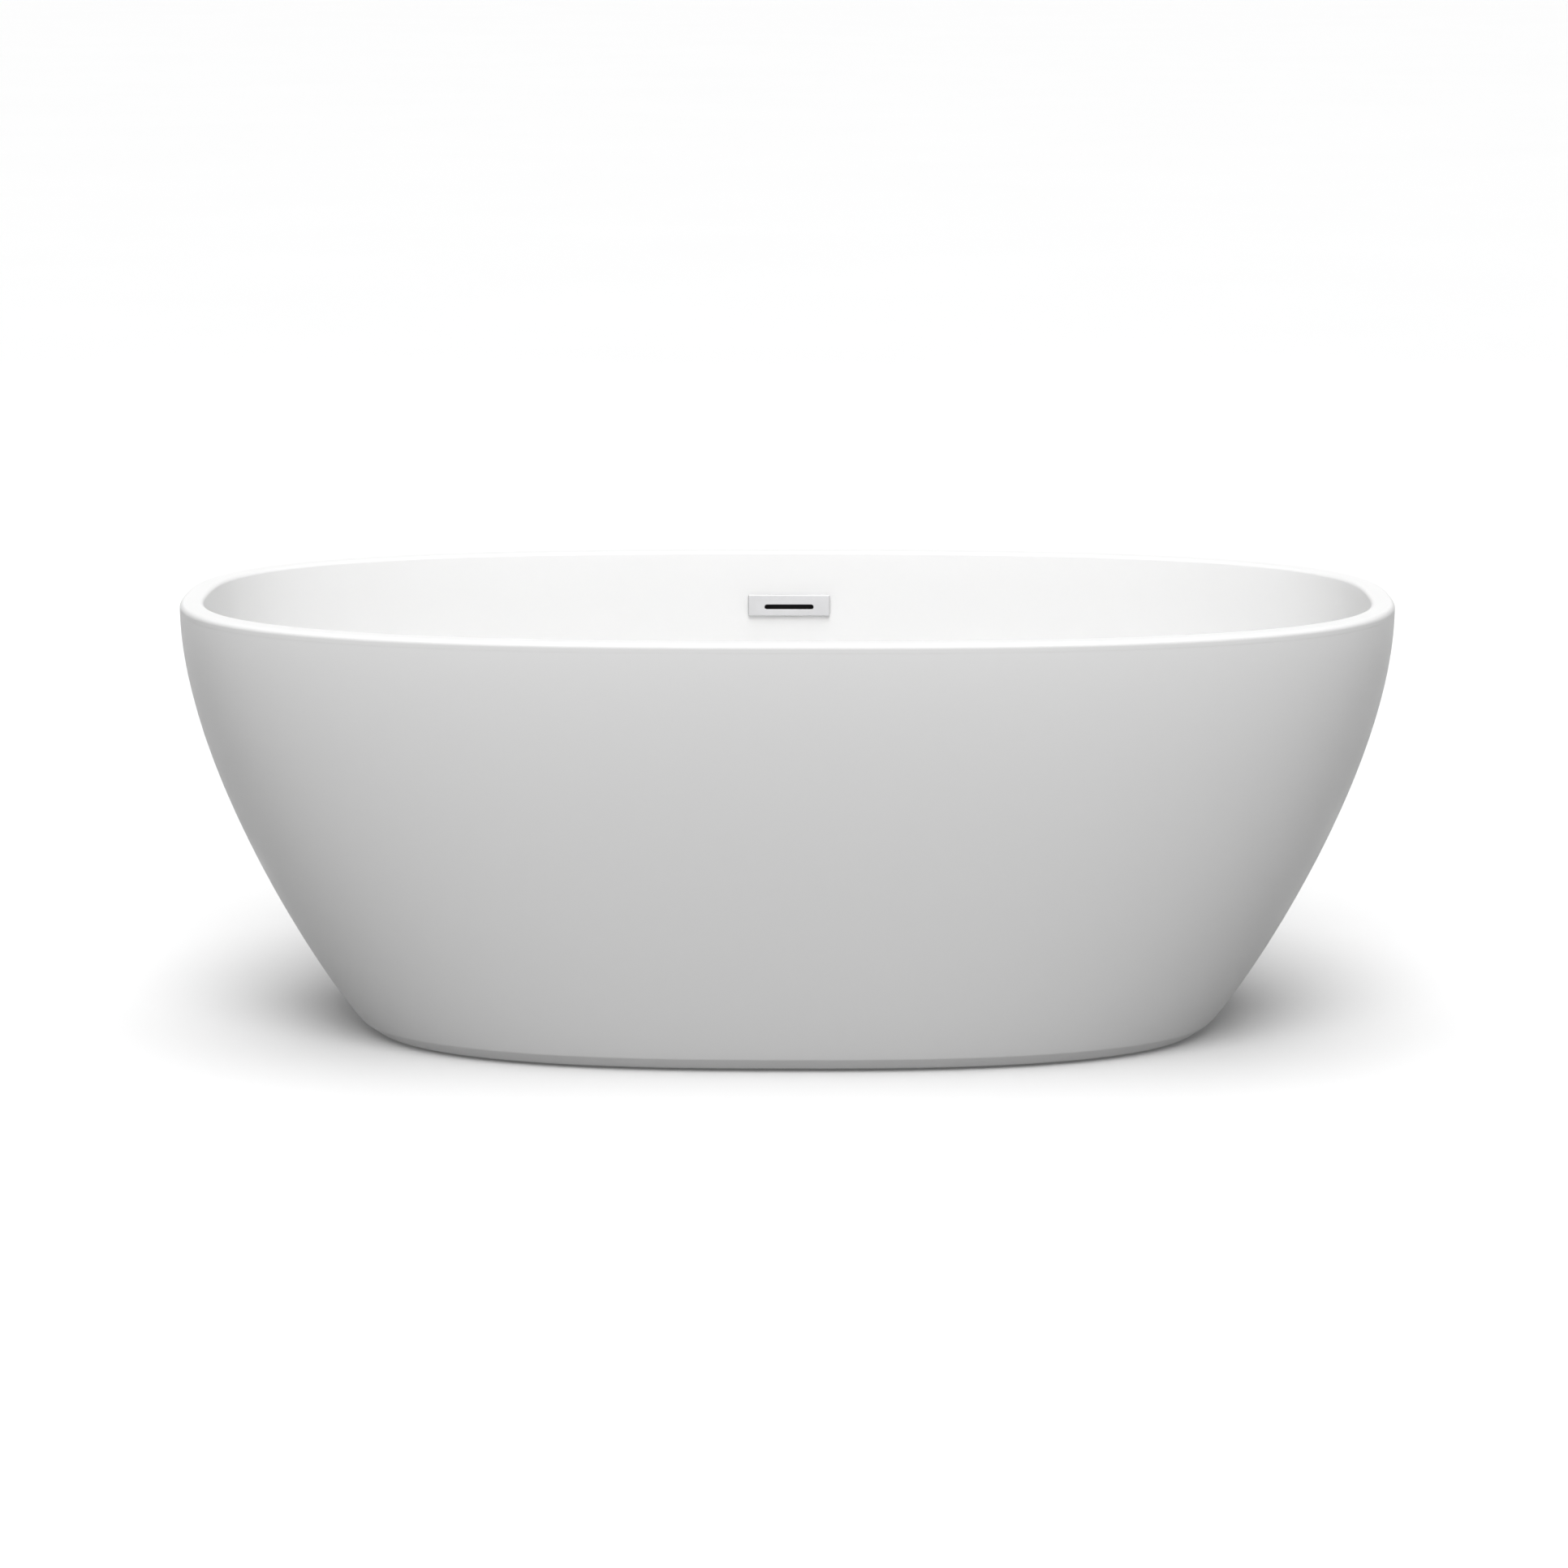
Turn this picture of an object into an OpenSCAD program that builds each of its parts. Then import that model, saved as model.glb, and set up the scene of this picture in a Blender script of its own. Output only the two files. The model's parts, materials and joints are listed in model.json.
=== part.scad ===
// Freestanding oval bathtub: a double-walled acrylic shell on a levelling steel frame,
// with a pop-up waste in the floor and a slotted overflow in the back wall.
// Frame: X along the length, +Y towards the overflow wall, +Z up, origin on the floor
// under the middle of the tub. All sizes are in millimetres.

/* [Tub] */
// Overall length at the rim
tub_l = 1650; // [1600:10:1700]
// Overall width at the rim
tub_w = 800; // [780:5:820]
// Height from the floor to the rim
tub_h = 600; // [590:5:610]
// Length of the skirt's foot
foot_l = 1164; // [1120:4:1200]
// Width of the skirt's foot
foot_w = 580; // [560:4:600]
// Width of the flat rim
rim_w = 32; // [30:1:36]
// Squareness of the oval at the rim, where 2 is an ellipse
oval_rim = 2.67; // [2.4:0.01:2.8]
// Squareness of the oval at the foot
oval_foot = 2.6; // [2.4:0.01:2.8]

/* [Shells] */
// Thickness of the basin's acrylic and laminate
basin_t = 8; // [6:0.5:9]
// Thickness of the skirt's acrylic and laminate
skirt_t = 7; // [5:0.5:8]
// Height of the basin's floor beside the waste
floor_z = 146; // [142:1:150]
// Gap between the skirt and the floor of the room
skirt_gap = 3; // [2:0.5:5]

/* [Frame] */
// Side of the square steel tube
tube = 30; // [25:1:32]
// Half the distance between the levelling feet, lengthwise
feet_x = 400; // [380:5:410]
// Half the distance between the levelling feet, across
feet_y = 165; // [160:1:168]

/* [Waste and overflow] */
// Width of the overflow cover
plate_w = 118; // [110:1:120]
// Height of the overflow cover
plate_h = 30; // [28:1:32]
// Height of the overflow cover's middle
plate_z = 523; // [515:1:528]
// Radius of the outlet pipe
outlet_r = 19.05; // [18:0.05:20]

/* [Hidden] */
seg = 72;
fine = 64;
fit = 0.05;

// Half sizes of the ovals, and the radii of the edges
rim = [tub_l / 2, tub_w / 2];
foot = [foot_l / 2, foot_w / 2];
outer_edge_r = 7;
inner_edge_r = 6;
foot_edge_r = 14;
lip_h = 12;
lip_z = tub_h - lip_h;
flange_w = 22;
flange_top = skirt_gap + skirt_t;

// Basin floor: the half sizes of its flat part and of the round recess at the waste
floor_half = [420, 170];
floor_rise = 4;
recess_r = 60;
recess_h = 0.8;
under_z = floor_z - basin_t;

// ---------- ovals and lofts ----------

function bezier(p, t) =
    pow(1 - t, 3) * p[0] + 3 * pow(1 - t, 2) * t * p[1] + 3 * (1 - t) * t * t * p[2] + pow(t, 3) * p[3];

function signed_pow(v, e) = sign(v) * pow(abs(v), e);

// A row of a loft: half length, half width, squareness and height
function row(half, n, z) = [half[0], half[1], n, z];

function oval(r) = [for (i = [0:seg - 1]) let (a = 360 * i / seg, e = 2 / r[2])
    [r[0] * signed_pow(cos(a), e), r[1] * signed_pow(sin(a), e), r[3]]];

// The triangles between row i and row k of a loft
function band(i, k, n = seg) = [for (j = [0:n - 1]) let (m = (j + 1) % n)
    each [[i * n + j, k * n + j, k * n + m], [i * n + j, k * n + m, i * n + m]]];

// A ring whose section is the closed list of rows
module loft_ring(rows) {
    count = len(rows);
    polyhedron(
        [for (r = rows) each oval(r)],
        [for (i = [0:count - 1]) each band(i, (i + 1) % count)]
    );
}

// A solid between its first and last rows, both closed with a flat face
module loft_solid(rows) {
    count = len(rows);
    polyhedron(
        [for (r = rows) each oval(r)],
        [
            [for (j = [0:seg - 1]) j],
            each [for (i = [0:count - 2]) each band(i, i + 1)],
            [for (j = [0:seg - 1]) count * seg - 1 - j]
        ]
    );
}

// ---------- the tub's own surfaces ----------

// Height and spread of the outside wall, from its foot (0) to its top (1)
function wall_z(t, top) = bezier([8, tub_h * 0.02, tub_h * 0.58, top], t);
function wall_spread(t) = bezier([0, 0.089, 1, 1], t);
function squareness(z) = oval_foot + (oval_rim - oval_foot) * z / tub_h;

// The outside wall up to the seam under the rim's lip, moved in by inset
function outer_wall(t, inset) = let (z = wall_z(t, lip_z))
    row(foot + (rim - foot) * wall_spread(t) - [inset, inset], squareness(z), z);

// The inside wall from the rim (0) to the floor (1), pushed out by a thickness
function inner_half(k, t, push) = bezier([
    rim[k] - rim_w + push,
    rim[k] - rim_w - 28 + push,
    floor_half[k] + [220, 130][k] + push,
    floor_half[k]
], t);
function inner_wall(t, push = 0, drop = 0, top = tub_h - inner_edge_r) =
    let (z = bezier([top, 440 - drop / 2, floor_z + floor_rise - drop, floor_z + floor_rise - drop], t))
    row([inner_half(0, t, push), inner_half(1, t, push)], oval_rim, z);

// An edge of radius r on the oval of half size at, turning from angle a0 to a1
function edge(at, z, r, a0, a1, steps, n) = [for (i = [0:steps]) let (a = a0 + (a1 - a0) * i / steps)
    row(at + [r, r] * cos(a), n, z + r * sin(a))];

module basin_shell() {
    rim_in = rim - [rim_w, rim_w];
    lip = rim - [basin_t, basin_t];
    steps = 13;
    drop = floor_z + floor_rise - under_z;
    loft_solid(concat(
        [row([recess_r, recess_r], 2, under_z)],
        [for (i = [0:steps]) inner_wall(1 - i / steps, basin_t, drop, tub_h - basin_t)],
        [row(lip, oval_rim, tub_h - basin_t), row(lip, oval_rim, lip_z), row(rim, oval_rim, lip_z)],
        edge(rim - [outer_edge_r, outer_edge_r], tub_h - outer_edge_r, outer_edge_r, 0, 90, 4, oval_rim),
        edge(rim_in + [inner_edge_r, inner_edge_r], tub_h - inner_edge_r, inner_edge_r, 90, 165, 3, oval_rim),
        [for (i = [0:steps]) inner_wall(i / steps)],
        [for (s = [0.75, 0.45]) row([recess_r, recess_r] * (1 - s) + floor_half * s,
            2 + (oval_rim - 2) * s, floor_z + recess_h + (floor_rise - recess_h) * s)],
        [row([recess_r, recess_r], 2, floor_z + recess_h), row([recess_r - 8, recess_r - 8], 2, floor_z)]
    ));
}

module basin() {
    color("white") difference() {
        basin_shell();
        cylinder(r = 25, h = 2 * tub_h, center = true, $fn = fine);
        at_overflow() wall_opening();
    }
}

module skirt() {
    steps = 12;
    base = foot - [foot_edge_r, foot_edge_r];
    flange = base - [flange_w, flange_w];
    edge_z = skirt_gap + foot_edge_r;
    color("white") difference() {
        loft_ring(concat(
            [row(flange, oval_foot, flange_top), row(flange, oval_foot, skirt_gap)],
            edge(base, edge_z, foot_edge_r, 270, 318, 4, oval_foot),
            [for (i = [0:steps]) outer_wall(0.1 + 0.9 * i / steps, 0)],
            [for (i = [0:steps]) outer_wall(1 - 0.9 * i / steps, skirt_t)],
            edge(base, edge_z, foot_edge_r - skirt_t, 318, 270, 2, oval_foot)
        ));
        at_brackets() screw_hole();
    }
}

// The bead that glues the skirt into the corner under the basin's rim
module rim_bond() {
    bead_out = rim - [skirt_t + 1, skirt_t + 1];
    bead_in = rim - [rim_w - basin_t - 1, rim_w - basin_t - 1];
    top = tub_h - basin_t;
    color("ivory") loft_ring([
        row(bead_in, oval_rim, top), row(bead_in, oval_rim, top - 6),
        row(bead_out, oval_rim, top - 14), row(bead_out, oval_rim, top)
    ]);
}

// ---------- frame ----------

board_t = 15;
board_z = under_z - board_t;
tube_z = board_z - tube;
tube_t = 2;
rail_l = 860;
rail_past = 60;
tap_r = 2.5;
screw_xs = [-300, -180, 180, 300];
bracket_w = 40;
bracket_t = 3;
screw_r = 2;
hole_back = 8;
stud_r = 6;
weld_nut_h = 10;
jam_nut_h = 6.5;

module base_board() {
    half = [430, 176];
    corner = 70;
    color("burlywood") difference() {
        translate([0, 0, board_z]) linear_extrude(board_t) rounded(2 * half[0], 2 * half[1], corner);
        translate([0, 0, board_z - 1]) cylinder(r = 56, h = board_t + 2, $fn = fine);
        for (x = screw_xs, s = [-1, 1]) translate([x, s * feet_y, board_z - 1])
            cylinder(r = tap_r, h = 11, $fn = 24);
    }
}

// A rectangle with round corners
module rounded(l, w, r) {
    hull() for (x = [-1, 1], y = [-1, 1]) translate([x * (l / 2 - r), y * (w / 2 - r)]) circle(r, $fn = 32);
}

// A square tube along X, centred on the origin
module square_tube(length) {
    difference() {
        cube([length, tube, tube], center = true);
        cube([length + 2, tube - 2 * tube_t, tube - 2 * tube_t], center = true);
    }
}

module frame_rail(side) {
    color("silver") difference() {
        translate([0, side * feet_y, tube_z + tube / 2]) square_tube(rail_l);
        for (x = [-feet_x, feet_x]) translate([x, side * feet_y, tube_z - 1])
            cylinder(r = stud_r + 0.5, h = tube / 2, $fn = fine);
        for (x = screw_xs) translate([x, side * feet_y, tube_z - 1])
            cylinder(r = tap_r, h = tube + 2, $fn = 24);
    }
}

module frame_cross(x) {
    color("silver") translate([x, 0, tube_z + tube / 2]) rotate([0, 0, 90])
        square_tube(2 * feet_y - tube);
}

module rail_caps() {
    plug = tube - 2 * tube_t - 0.2;
    color("dimgray") for (sx = [-1, 1], sy = [-1, 1])
        translate([sx * rail_l / 2, sy * feet_y, tube_z + tube / 2]) rotate([0, 0, sx > 0 ? 0 : 180]) {
            translate([0, -tube / 2, -tube / 2]) cube([3, tube, tube]);
            translate([-12, -plug / 2, -plug / 2]) cube([12.5, plug, plug]);
        }
}

module hex(across, height) {
    cylinder(r = across / sqrt(3), h = height, $fn = 6);
}

module at_feet() {
    for (x = [-feet_x, feet_x], y = [-feet_y, feet_y]) translate([x, y, 0]) children();
}

module stud_nut(z, height) {
    translate([0, 0, z]) difference() {
        hex(19, height);
        translate([0, 0, -1]) cylinder(r = stud_r + fit, h = height + 2, $fn = fine);
    }
}

module frame_nuts() {
    color("silver") at_feet() stud_nut(tube_z - weld_nut_h, weld_nut_h);
}

// The jam nuts stand half a millimetre below the welded ones
module jam_nuts() {
    color("gainsboro") at_feet() stud_nut(tube_z - weld_nut_h - 0.5 - jam_nut_h, jam_nut_h);
}

module board_screws() {
    color("gainsboro") for (x = screw_xs, s = [-1, 1]) translate([x, s * feet_y, tube_z - 3]) {
        hex(8, 3);
        cylinder(r = tap_r - 0.1, h = tube + 12, $fn = 24);
    }
}

// A bent strip from a tube's side, at distance 0, down to the skirt's flange at distance reach
module bracket(reach) {
    t = bracket_t;
    low = flange_top;
    high = tube_z + tube - 2;
    tab = 16;
    rotate([90, 0, 0]) translate([0, 0, -bracket_w / 2]) linear_extrude(bracket_w) polygon([
        [0, high], [0, tube_z + 4], [reach - tab, low], [reach, low], [reach, low + t],
        [reach - tab + 2, low + t], [t, tube_z + 5.5], [t, high]
    ]);
}

bracket_reach_x = foot[0] - foot_edge_r - 6 - (rail_l / 2 - rail_past);
bracket_reach_y = foot[1] - foot_edge_r - 12 - (feet_y + tube / 2);
end_x = rail_l / 2 - rail_past - tube / 2;
side_x = 220;

module at_end(side) {
    rotate([0, 0, side > 0 ? 0 : 180]) translate([rail_l / 2 - rail_past, 0, 0]) children();
}

module at_side(x, side) {
    translate([x, side * (feet_y + tube / 2), 0]) rotate([0, 0, side * 90]) children();
}

module at_brackets() {
    for (s = [-1, 1]) at_end(s) translate([bracket_reach_x - hole_back, 0, 0]) children();
    for (x = [-side_x, side_x], s = [-1, 1])
        at_side(x, s) translate([bracket_reach_y - hole_back, 0, 0]) children();
}

module end_bracket(side) {
    color("silver") difference() {
        at_end(side) bracket(bracket_reach_x);
        at_brackets() screw_hole();
    }
}

module side_bracket(x, side) {
    color("silver") difference() {
        at_side(x, side) bracket(bracket_reach_y);
        at_brackets() screw_hole();
    }
}

// The countersunk hole through the skirt's flange and a bracket's foot
module screw_hole() {
    hole_r = screw_r + 0.1;
    translate([0, 0, skirt_gap - 1]) cylinder(r = hole_r, h = 20, $fn = 32);
    translate([0, 0, skirt_gap - 0.1]) cylinder(r1 = 2 * hole_r, r2 = hole_r, h = 2.2, $fn = 32);
}

module bracket_bolts() {
    color("gainsboro") {
        for (s = [-1, 1]) at_end(s) side_bolts();
        for (x = [-side_x, side_x], s = [-1, 1]) at_side(x, s) side_bolts();
    }
}

module side_bolts() {
    for (y = [-12, 12]) translate([bracket_t, y, tube_z + tube / 2]) rotate([0, 90, 0]) hex(8, 3.5);
}

module bracket_screws() {
    color("gainsboro") at_brackets() translate([0, 0, skirt_gap]) {
        cylinder(r1 = 2 * screw_r, r2 = screw_r, h = 2, $fn = 32);
        cylinder(r = screw_r, h = 15, $fn = 32);
    }
}

module bracket_nuts() {
    color("gainsboro") at_brackets() translate([0, 0, flange_top + bracket_t]) difference() {
        hex(7, 3);
        translate([0, 0, -1]) cylinder(r = screw_r + fit, h = 5, $fn = 32);
    }
}

// ---------- levelling feet ----------

pad_r = 22;
pad_h = 9;
socket_z = 5;
collar_z = 18;
pivot_r = 4.5;
stud_top = tube_z + 18;

module foot_pad(x, y) {
    color("dimgray") translate([x, y, 0]) difference() {
        rotate_extrude($fn = fine) polygon([
            [0, 0], [pad_r - 1, 0], [pad_r, 1], [pad_r, pad_h - 3], [pad_r - 3, pad_h],
            [11, pad_h], [10, 16], [0, 16]
        ]);
        translate([0, 0, socket_z]) cylinder(r = pivot_r + fit, h = 20, $fn = fine);
    }
}

module foot_stud(x, y) {
    color("gainsboro") translate([x, y, 0]) {
        translate([0, 0, socket_z]) cylinder(r = pivot_r, h = 20, $fn = fine);
        translate([0, 0, collar_z]) hex(17, 8);
        translate([0, 0, collar_z + 4]) cylinder(r = stud_r, h = stud_top - collar_z - 4, $fn = fine);
    }
}

// ---------- waste in the floor ----------

bore_r = 19;
shank_r = 22;
seal_t = 1.5;
flange_z = floor_z + seal_t;
web_z = 104;
inlet_z = 72;
inlet_bore = 10.5;

module ring(r_out, r_in, z, height) {
    translate([0, 0, z]) difference() {
        cylinder(r = r_out, h = height, $fn = fine);
        translate([0, 0, -1]) cylinder(r = r_in, h = height + 2, $fn = fine);
    }
}

module drain_flange() {
    low = web_z - 4;
    color("silver") difference() {
        union() {
            difference() {
                rotate_extrude($fn = fine) polygon([
                    [0, low], [shank_r, low], [shank_r, flange_z],
                    [34, flange_z], [34, flange_z + 1], [31, flange_z + 3], [0, flange_z + 3]
                ]);
                translate([0, 0, low - 1]) cylinder(r = bore_r, h = 60, $fn = fine);
            }
            for (a = [0, 90]) rotate([0, 0, a]) translate([-bore_r - 1, -1.5, low])
                cube([2 * bore_r + 2, 3, 6]);
            translate([0, 0, low]) cylinder(r = 9, h = 10, $fn = fine);
        }
        translate([0, 0, low - 1]) cylinder(r = 6, h = 20, $fn = fine);
    }
}

module drain_top_seal() {
    color("dimgray") ring(33, shank_r + fit, floor_z, seal_t);
}

module drain_lower_seal() {
    color("black") ring(38, shank_r + fit, under_z - 6, 6);
}

module drain_tee() {
    inlet_end = 76;
    color("dimgray") difference() {
        union() {
            translate([0, 0, under_z - 10]) cylinder(r = 40, h = 4, $fn = fine);
            translate([0, 0, 56]) cylinder(r = 28, h = under_z - 62, $fn = fine);
            translate([0, 0, 46]) cylinder(r = 25, h = 12, $fn = fine);
            translate([0, 0, inlet_z]) rotate([-90, 0, 0]) cylinder(r = 13, h = inlet_end, $fn = fine);
            translate([0, 24, inlet_z]) rotate([-90, 0, 0]) cylinder(r = 16, h = 14, $fn = fine);
        }
        translate([0, 0, 40]) cylinder(r = outlet_r + 0.2, h = 40, $fn = fine);
        translate([0, 0, 79]) cylinder(r = shank_r + fit, h = 80, $fn = fine);
        translate([0, 0, inlet_z]) rotate([-90, 0, 0])
            cylinder(r = inlet_bore, h = inlet_end + 1, $fn = fine);
    }
}

module tailpiece() {
    end_z = 10;
    neck_z = 37;
    color("silver") difference() {
        union() {
            translate([0, 0, end_z]) cylinder(r = outlet_r, h = neck_z - end_z, $fn = fine);
            translate([0, 0, neck_z - 1]) cylinder(r = outlet_r - 0.35, h = 22, $fn = fine);
        }
        translate([0, 0, end_z - 1]) cylinder(r = outlet_r - 1.75, h = 60, $fn = fine);
    }
}

module tailpiece_nut() {
    color("silver") difference() {
        translate([0, 0, 38]) cylinder(r = 32, h = 17, $fn = 12);
        translate([0, 0, 41]) cylinder(r = 25.1, h = 20, $fn = fine);
        translate([0, 0, 37]) cylinder(r = outlet_r + 0.2, h = 20, $fn = fine);
    }
}

module tailpiece_washer() {
    color("white") ring(24.9, outlet_r - 0.2, 41, 4.9);
}

// ---------- pop-up stopper ----------

stem_r = 5;
stem_end_z = 112;
cap_z = flange_z + 3;

module stopper_cap() {
    color("silver") difference() {
        rotate_extrude($fn = fine) polygon(concat(
            [[0, cap_z + 1.5], [24, cap_z + 1.5], [27, cap_z + 0.5]],
            [[29.5, cap_z + 1.5], [29.5, cap_z + 2.5]],
            [for (i = [0:6]) let (a = i * 15) [28.5 * cos(a), cap_z + 2.5 + 3.5 * sin(a)]]
        ));
        translate([0, 0, cap_z - 1]) cylinder(r = 3 + fit, h = 4, $fn = fine);
    }
}

module stopper_seal() {
    color("dimgray") difference() {
        ring(18.6, 7, cap_z - 2.5, 4);
        ring(20, 17.4, cap_z - 3, 2);
    }
}

module stopper_stem() {
    color("silver") union() {
        translate([0, 0, stem_end_z]) cylinder(r = stem_r, h = cap_z - 4 - stem_end_z, $fn = fine);
        translate([0, 0, cap_z - 6]) cylinder(r = 6.8, h = 7.5, $fn = fine);
        translate([0, 0, cap_z]) cylinder(r = 3, h = 3, $fn = fine);
    }
}

module stopper_cartridge() {
    color("goldenrod") difference() {
        union() {
            translate([0, 0, web_z - 4]) cylinder(r = 6 - fit, h = 10, $fn = fine);
            translate([0, 0, web_z + 6]) hex(15, 5);
            translate([0, 0, web_z + 10]) cylinder(r = 7, h = 20, $fn = fine);
        }
        translate([0, 0, web_z - 2]) cylinder(r = 4.6, h = 8.2, $fn = fine);
        translate([0, 0, web_z + 6]) cylinder(r = stem_r + fit, h = 40, $fn = fine);
    }
}

module stopper_spring() {
    wire_r = 0.5;
    coil_r = 3.9;
    turns = 5;
    low = web_z - 1.4;
    height = stem_end_z - low - 0.6;
    color("gainsboro") tube_along([for (i = [0:14 * turns]) let (a = 360 * i / 14)
        [coil_r * cos(a), coil_r * sin(a), low + height * i / (14 * turns)]], wire_r, 0, 6);
}

// ---------- overflow in the back wall ----------

lean = atan2(wall_y_at(plate_z + 20) - wall_y_at(plate_z - 20), 40);
wall_y = (wall_y_at(plate_z + 20) + wall_y_at(plate_z - 20)) / 2 - 0.5;
post_x = 50;
slot_w = 71;
slot_h = 7;
slot_drop = 2.3;
wall_slot = [110, 16];
backing = [122, 36, 4];
box_w = 86;
box_h = 30;
backing_y = 13.6;
post_r = 2.5;
duct_bore = 10.5;
duct_y = 25;
spigot_r = 13;
spigot_top = -106;
spigot_low = -132;

// How far along the inside wall's curve it reaches height z, found by halving
function wall_t(z, low = 0, high = 1, n = 24) = let (m = (low + high) / 2)
    n == 0 ? m : inner_wall(m)[3] > z ? wall_t(z, m, high, n - 1) : wall_t(z, low, m, n - 1);

function wall_y_at(z) = inner_wall(wall_t(z))[1];

// Local frame just inside the basin's wall: -Y out of the wall into the tub, +Z up the wall
module at_overflow() {
    translate([0, wall_y, plate_z]) rotate([-lean, 0, 0]) children();
}

function overflow_point(y, z) =
    [0, wall_y + y * cos(lean) + z * sin(lean), plate_z - y * sin(lean) + z * cos(lean)];

// A slot with round ends, cut along Y from y0 to y1
module slot_cut(l, w, y0, y1, z = 0) {
    translate([0, y1, z]) rotate([90, 0, 0]) linear_extrude(y1 - y0)
        hull() for (s = [-1, 1]) translate([s * (l - w) / 2, 0]) circle(w / 2, $fn = 32);
}

// The opening in the wall sits a little low, like the slot in the cover
module wall_opening() {
    slot_cut(wall_slot[0], wall_slot[1], -20, 14, -0.5);
}

module plate_block(l, h, y0, y1, r) {
    translate([0, y1, 0]) rotate([90, 0, 0]) linear_extrude(y1 - y0) rounded(l, h, r);
}

module overflow_plate() {
    color("silver") at_overflow() {
        difference() {
            union() {
                plate_block(plate_w, plate_h, -5.4, -1, 1.6);
                plate_block(plate_w - 1.2, plate_h - 1.2, -6, -5, 1);
            }
            plate_block(plate_w - 6, plate_h - 6, -4.4, 0, 1);
            slot_cut(slot_w, slot_h, -8, 0, -slot_drop);
        }
        for (s = [-1, 1]) translate([s * post_x, -5, 0]) rotate([-90, 0, 0])
            cylinder(r = post_r, h = 24, $fn = 32);
    }
}

module overflow_plate_gasket() {
    color("dimgray") at_overflow() difference() {
        plate_block(plate_w - 1, plate_h - 1, -1, -0.3, 1.5);
        slot_cut(wall_slot[0], wall_slot[1] + 1, -3, 2);
    }
}

module overflow_wall_gasket() {
    color("black") at_overflow() difference() {
        plate_block(backing[0], backing[1], 9.4, 10.6, backing[2]);
        slot_cut(wall_slot[0], wall_slot[1], 4, 14);
    }
}

module overflow_housing() {
    color("dimgray") at_overflow() difference() {
        union() {
            plate_block(backing[0], backing[1], 10.6, backing_y, backing[2]);
            translate([-box_w / 2, -0.2, -7]) cube([box_w, 12, 14]);
            translate([-box_w / 2, 12, -box_h / 2]) cube([box_w, 18, box_h]);
            duct(box_w / 2, 12, 30, 15, 0);
            translate([0, duct_y, spigot_low]) cylinder(r = spigot_r, h = 40, $fn = fine);
        }
        translate([-41.5, -2, -5.5]) cube([83, 20, 11]);
        translate([-41, 14, -16]) cube([82, 14, 29]);
        duct(41, 14, 28, 11, 0.1);
        translate([0, duct_y, spigot_low - 1]) cylinder(r = duct_bore, h = 40, $fn = fine);
        for (s = [-1, 1]) translate([s * post_x, 8, 0]) rotate([-90, 0, 0])
            cylinder(r = post_r + fit, h = 10, $fn = 32);
    }
}

// The duct that narrows from the housing's box down to its round spigot
module duct(half_w, y0, y1, r, over) {
    hull() {
        translate([-half_w, y0, -15 - over]) cube([2 * half_w, y1 - y0, 2 + over]);
        translate([0, duct_y, spigot_top - over]) cylinder(r = r, h = 4 + over, $fn = 32);
    }
}

module overflow_nuts() {
    color("goldenrod") at_overflow() for (s = [-1, 1])
        translate([s * post_x, backing_y, 0]) rotate([-90, 0, 0])
        difference() {
            hex(9, 4);
            translate([0, 0, -1]) cylinder(r = post_r + fit, h = 6, $fn = 32);
        }
}

// ---------- overflow hose ----------

hose_r = 15.5;
hose_bore = 13.9;
hose_points = concat(
    [for (z = [spigot_top - 2, spigot_top - 14, spigot_low]) overflow_point(duct_y, z)],
    [[0, 349, 355], [0, 338, 310], [0, 323, 262], [0, 304, 212], [0, 280, 163], [0, 248, 115],
     [0, 210, 83], [0, 166, 71], [0, 124, 71]],
    [for (y = [94, 78, 62, 46]) [0, y, inlet_z]]
);

function spline(p, i, t) = let (
    a = p[max(i - 1, 0)], b = p[i], c = p[i + 1], d = p[min(i + 2, len(p) - 1)])
    0.5 * (2 * b + (c - a) * t + (2 * a - 5 * b + 4 * c - d) * t * t + (3 * b - a - 3 * c + d) * pow(t, 3));

function unit(v) = v / norm(v);

// Points on a smooth curve through p, two to each stretch
function smooth(p) = concat(
    [for (i = [0:len(p) - 2]) each [spline(p, i, 0), spline(p, i, 0.5)]], [p[len(p) - 1]]);

function ring_at(p, i, r, sides) = let (
    d = unit(p[min(i + 1, len(p) - 1)] - p[max(i - 1, 0)]),
    u = unit(cross(d, abs(d[0]) < 0.9 ? [1, 0, 0] : [0, 1, 0])),
    v = cross(d, u))
    [for (k = [0:sides - 1]) p[i] + r * (cos(360 * k / sides) * u + sin(360 * k / sides) * v)];

// A tube along points, solid when bore is 0
module tube_along(p, r, bore, sides) {
    last = len(p) - 1;
    if (bore == 0)
        polyhedron(
            [for (i = [0:last]) each ring_at(p, i, r, sides)],
            [
                [for (k = [0:sides - 1]) sides - 1 - k],
                each [for (i = [0:last - 1], f = band(i, i + 1, sides)) [f[2], f[1], f[0]]],
                [for (k = [0:sides - 1]) last * sides + k]
            ]
        );
    else
        polyhedron(
            concat(
                [for (i = [0:last]) each ring_at(p, i, r, sides)],
                [for (i = [0:last]) each ring_at(p, last - i, bore, sides)]
            ),
            [for (i = [0:2 * last + 1], f = band(i, (i + 1) % (2 * last + 2), sides)) [f[2], f[1], f[0]]]
        );
}

module overflow_hose() {
    color("gray") tube_along(smooth(hose_points), hose_r, hose_bore, 12);
}

// A worm-drive band round Z
module hose_clamp() {
    ring(hose_r + 1.3, hose_r + 0.2, -4.5, 9);
    translate([-7, hose_r + 1, -5.5]) cube([14, 7, 11]);
    translate([-13, hose_r + 5, 0]) rotate([0, 90, 0]) hex(6, 22);
}

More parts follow.
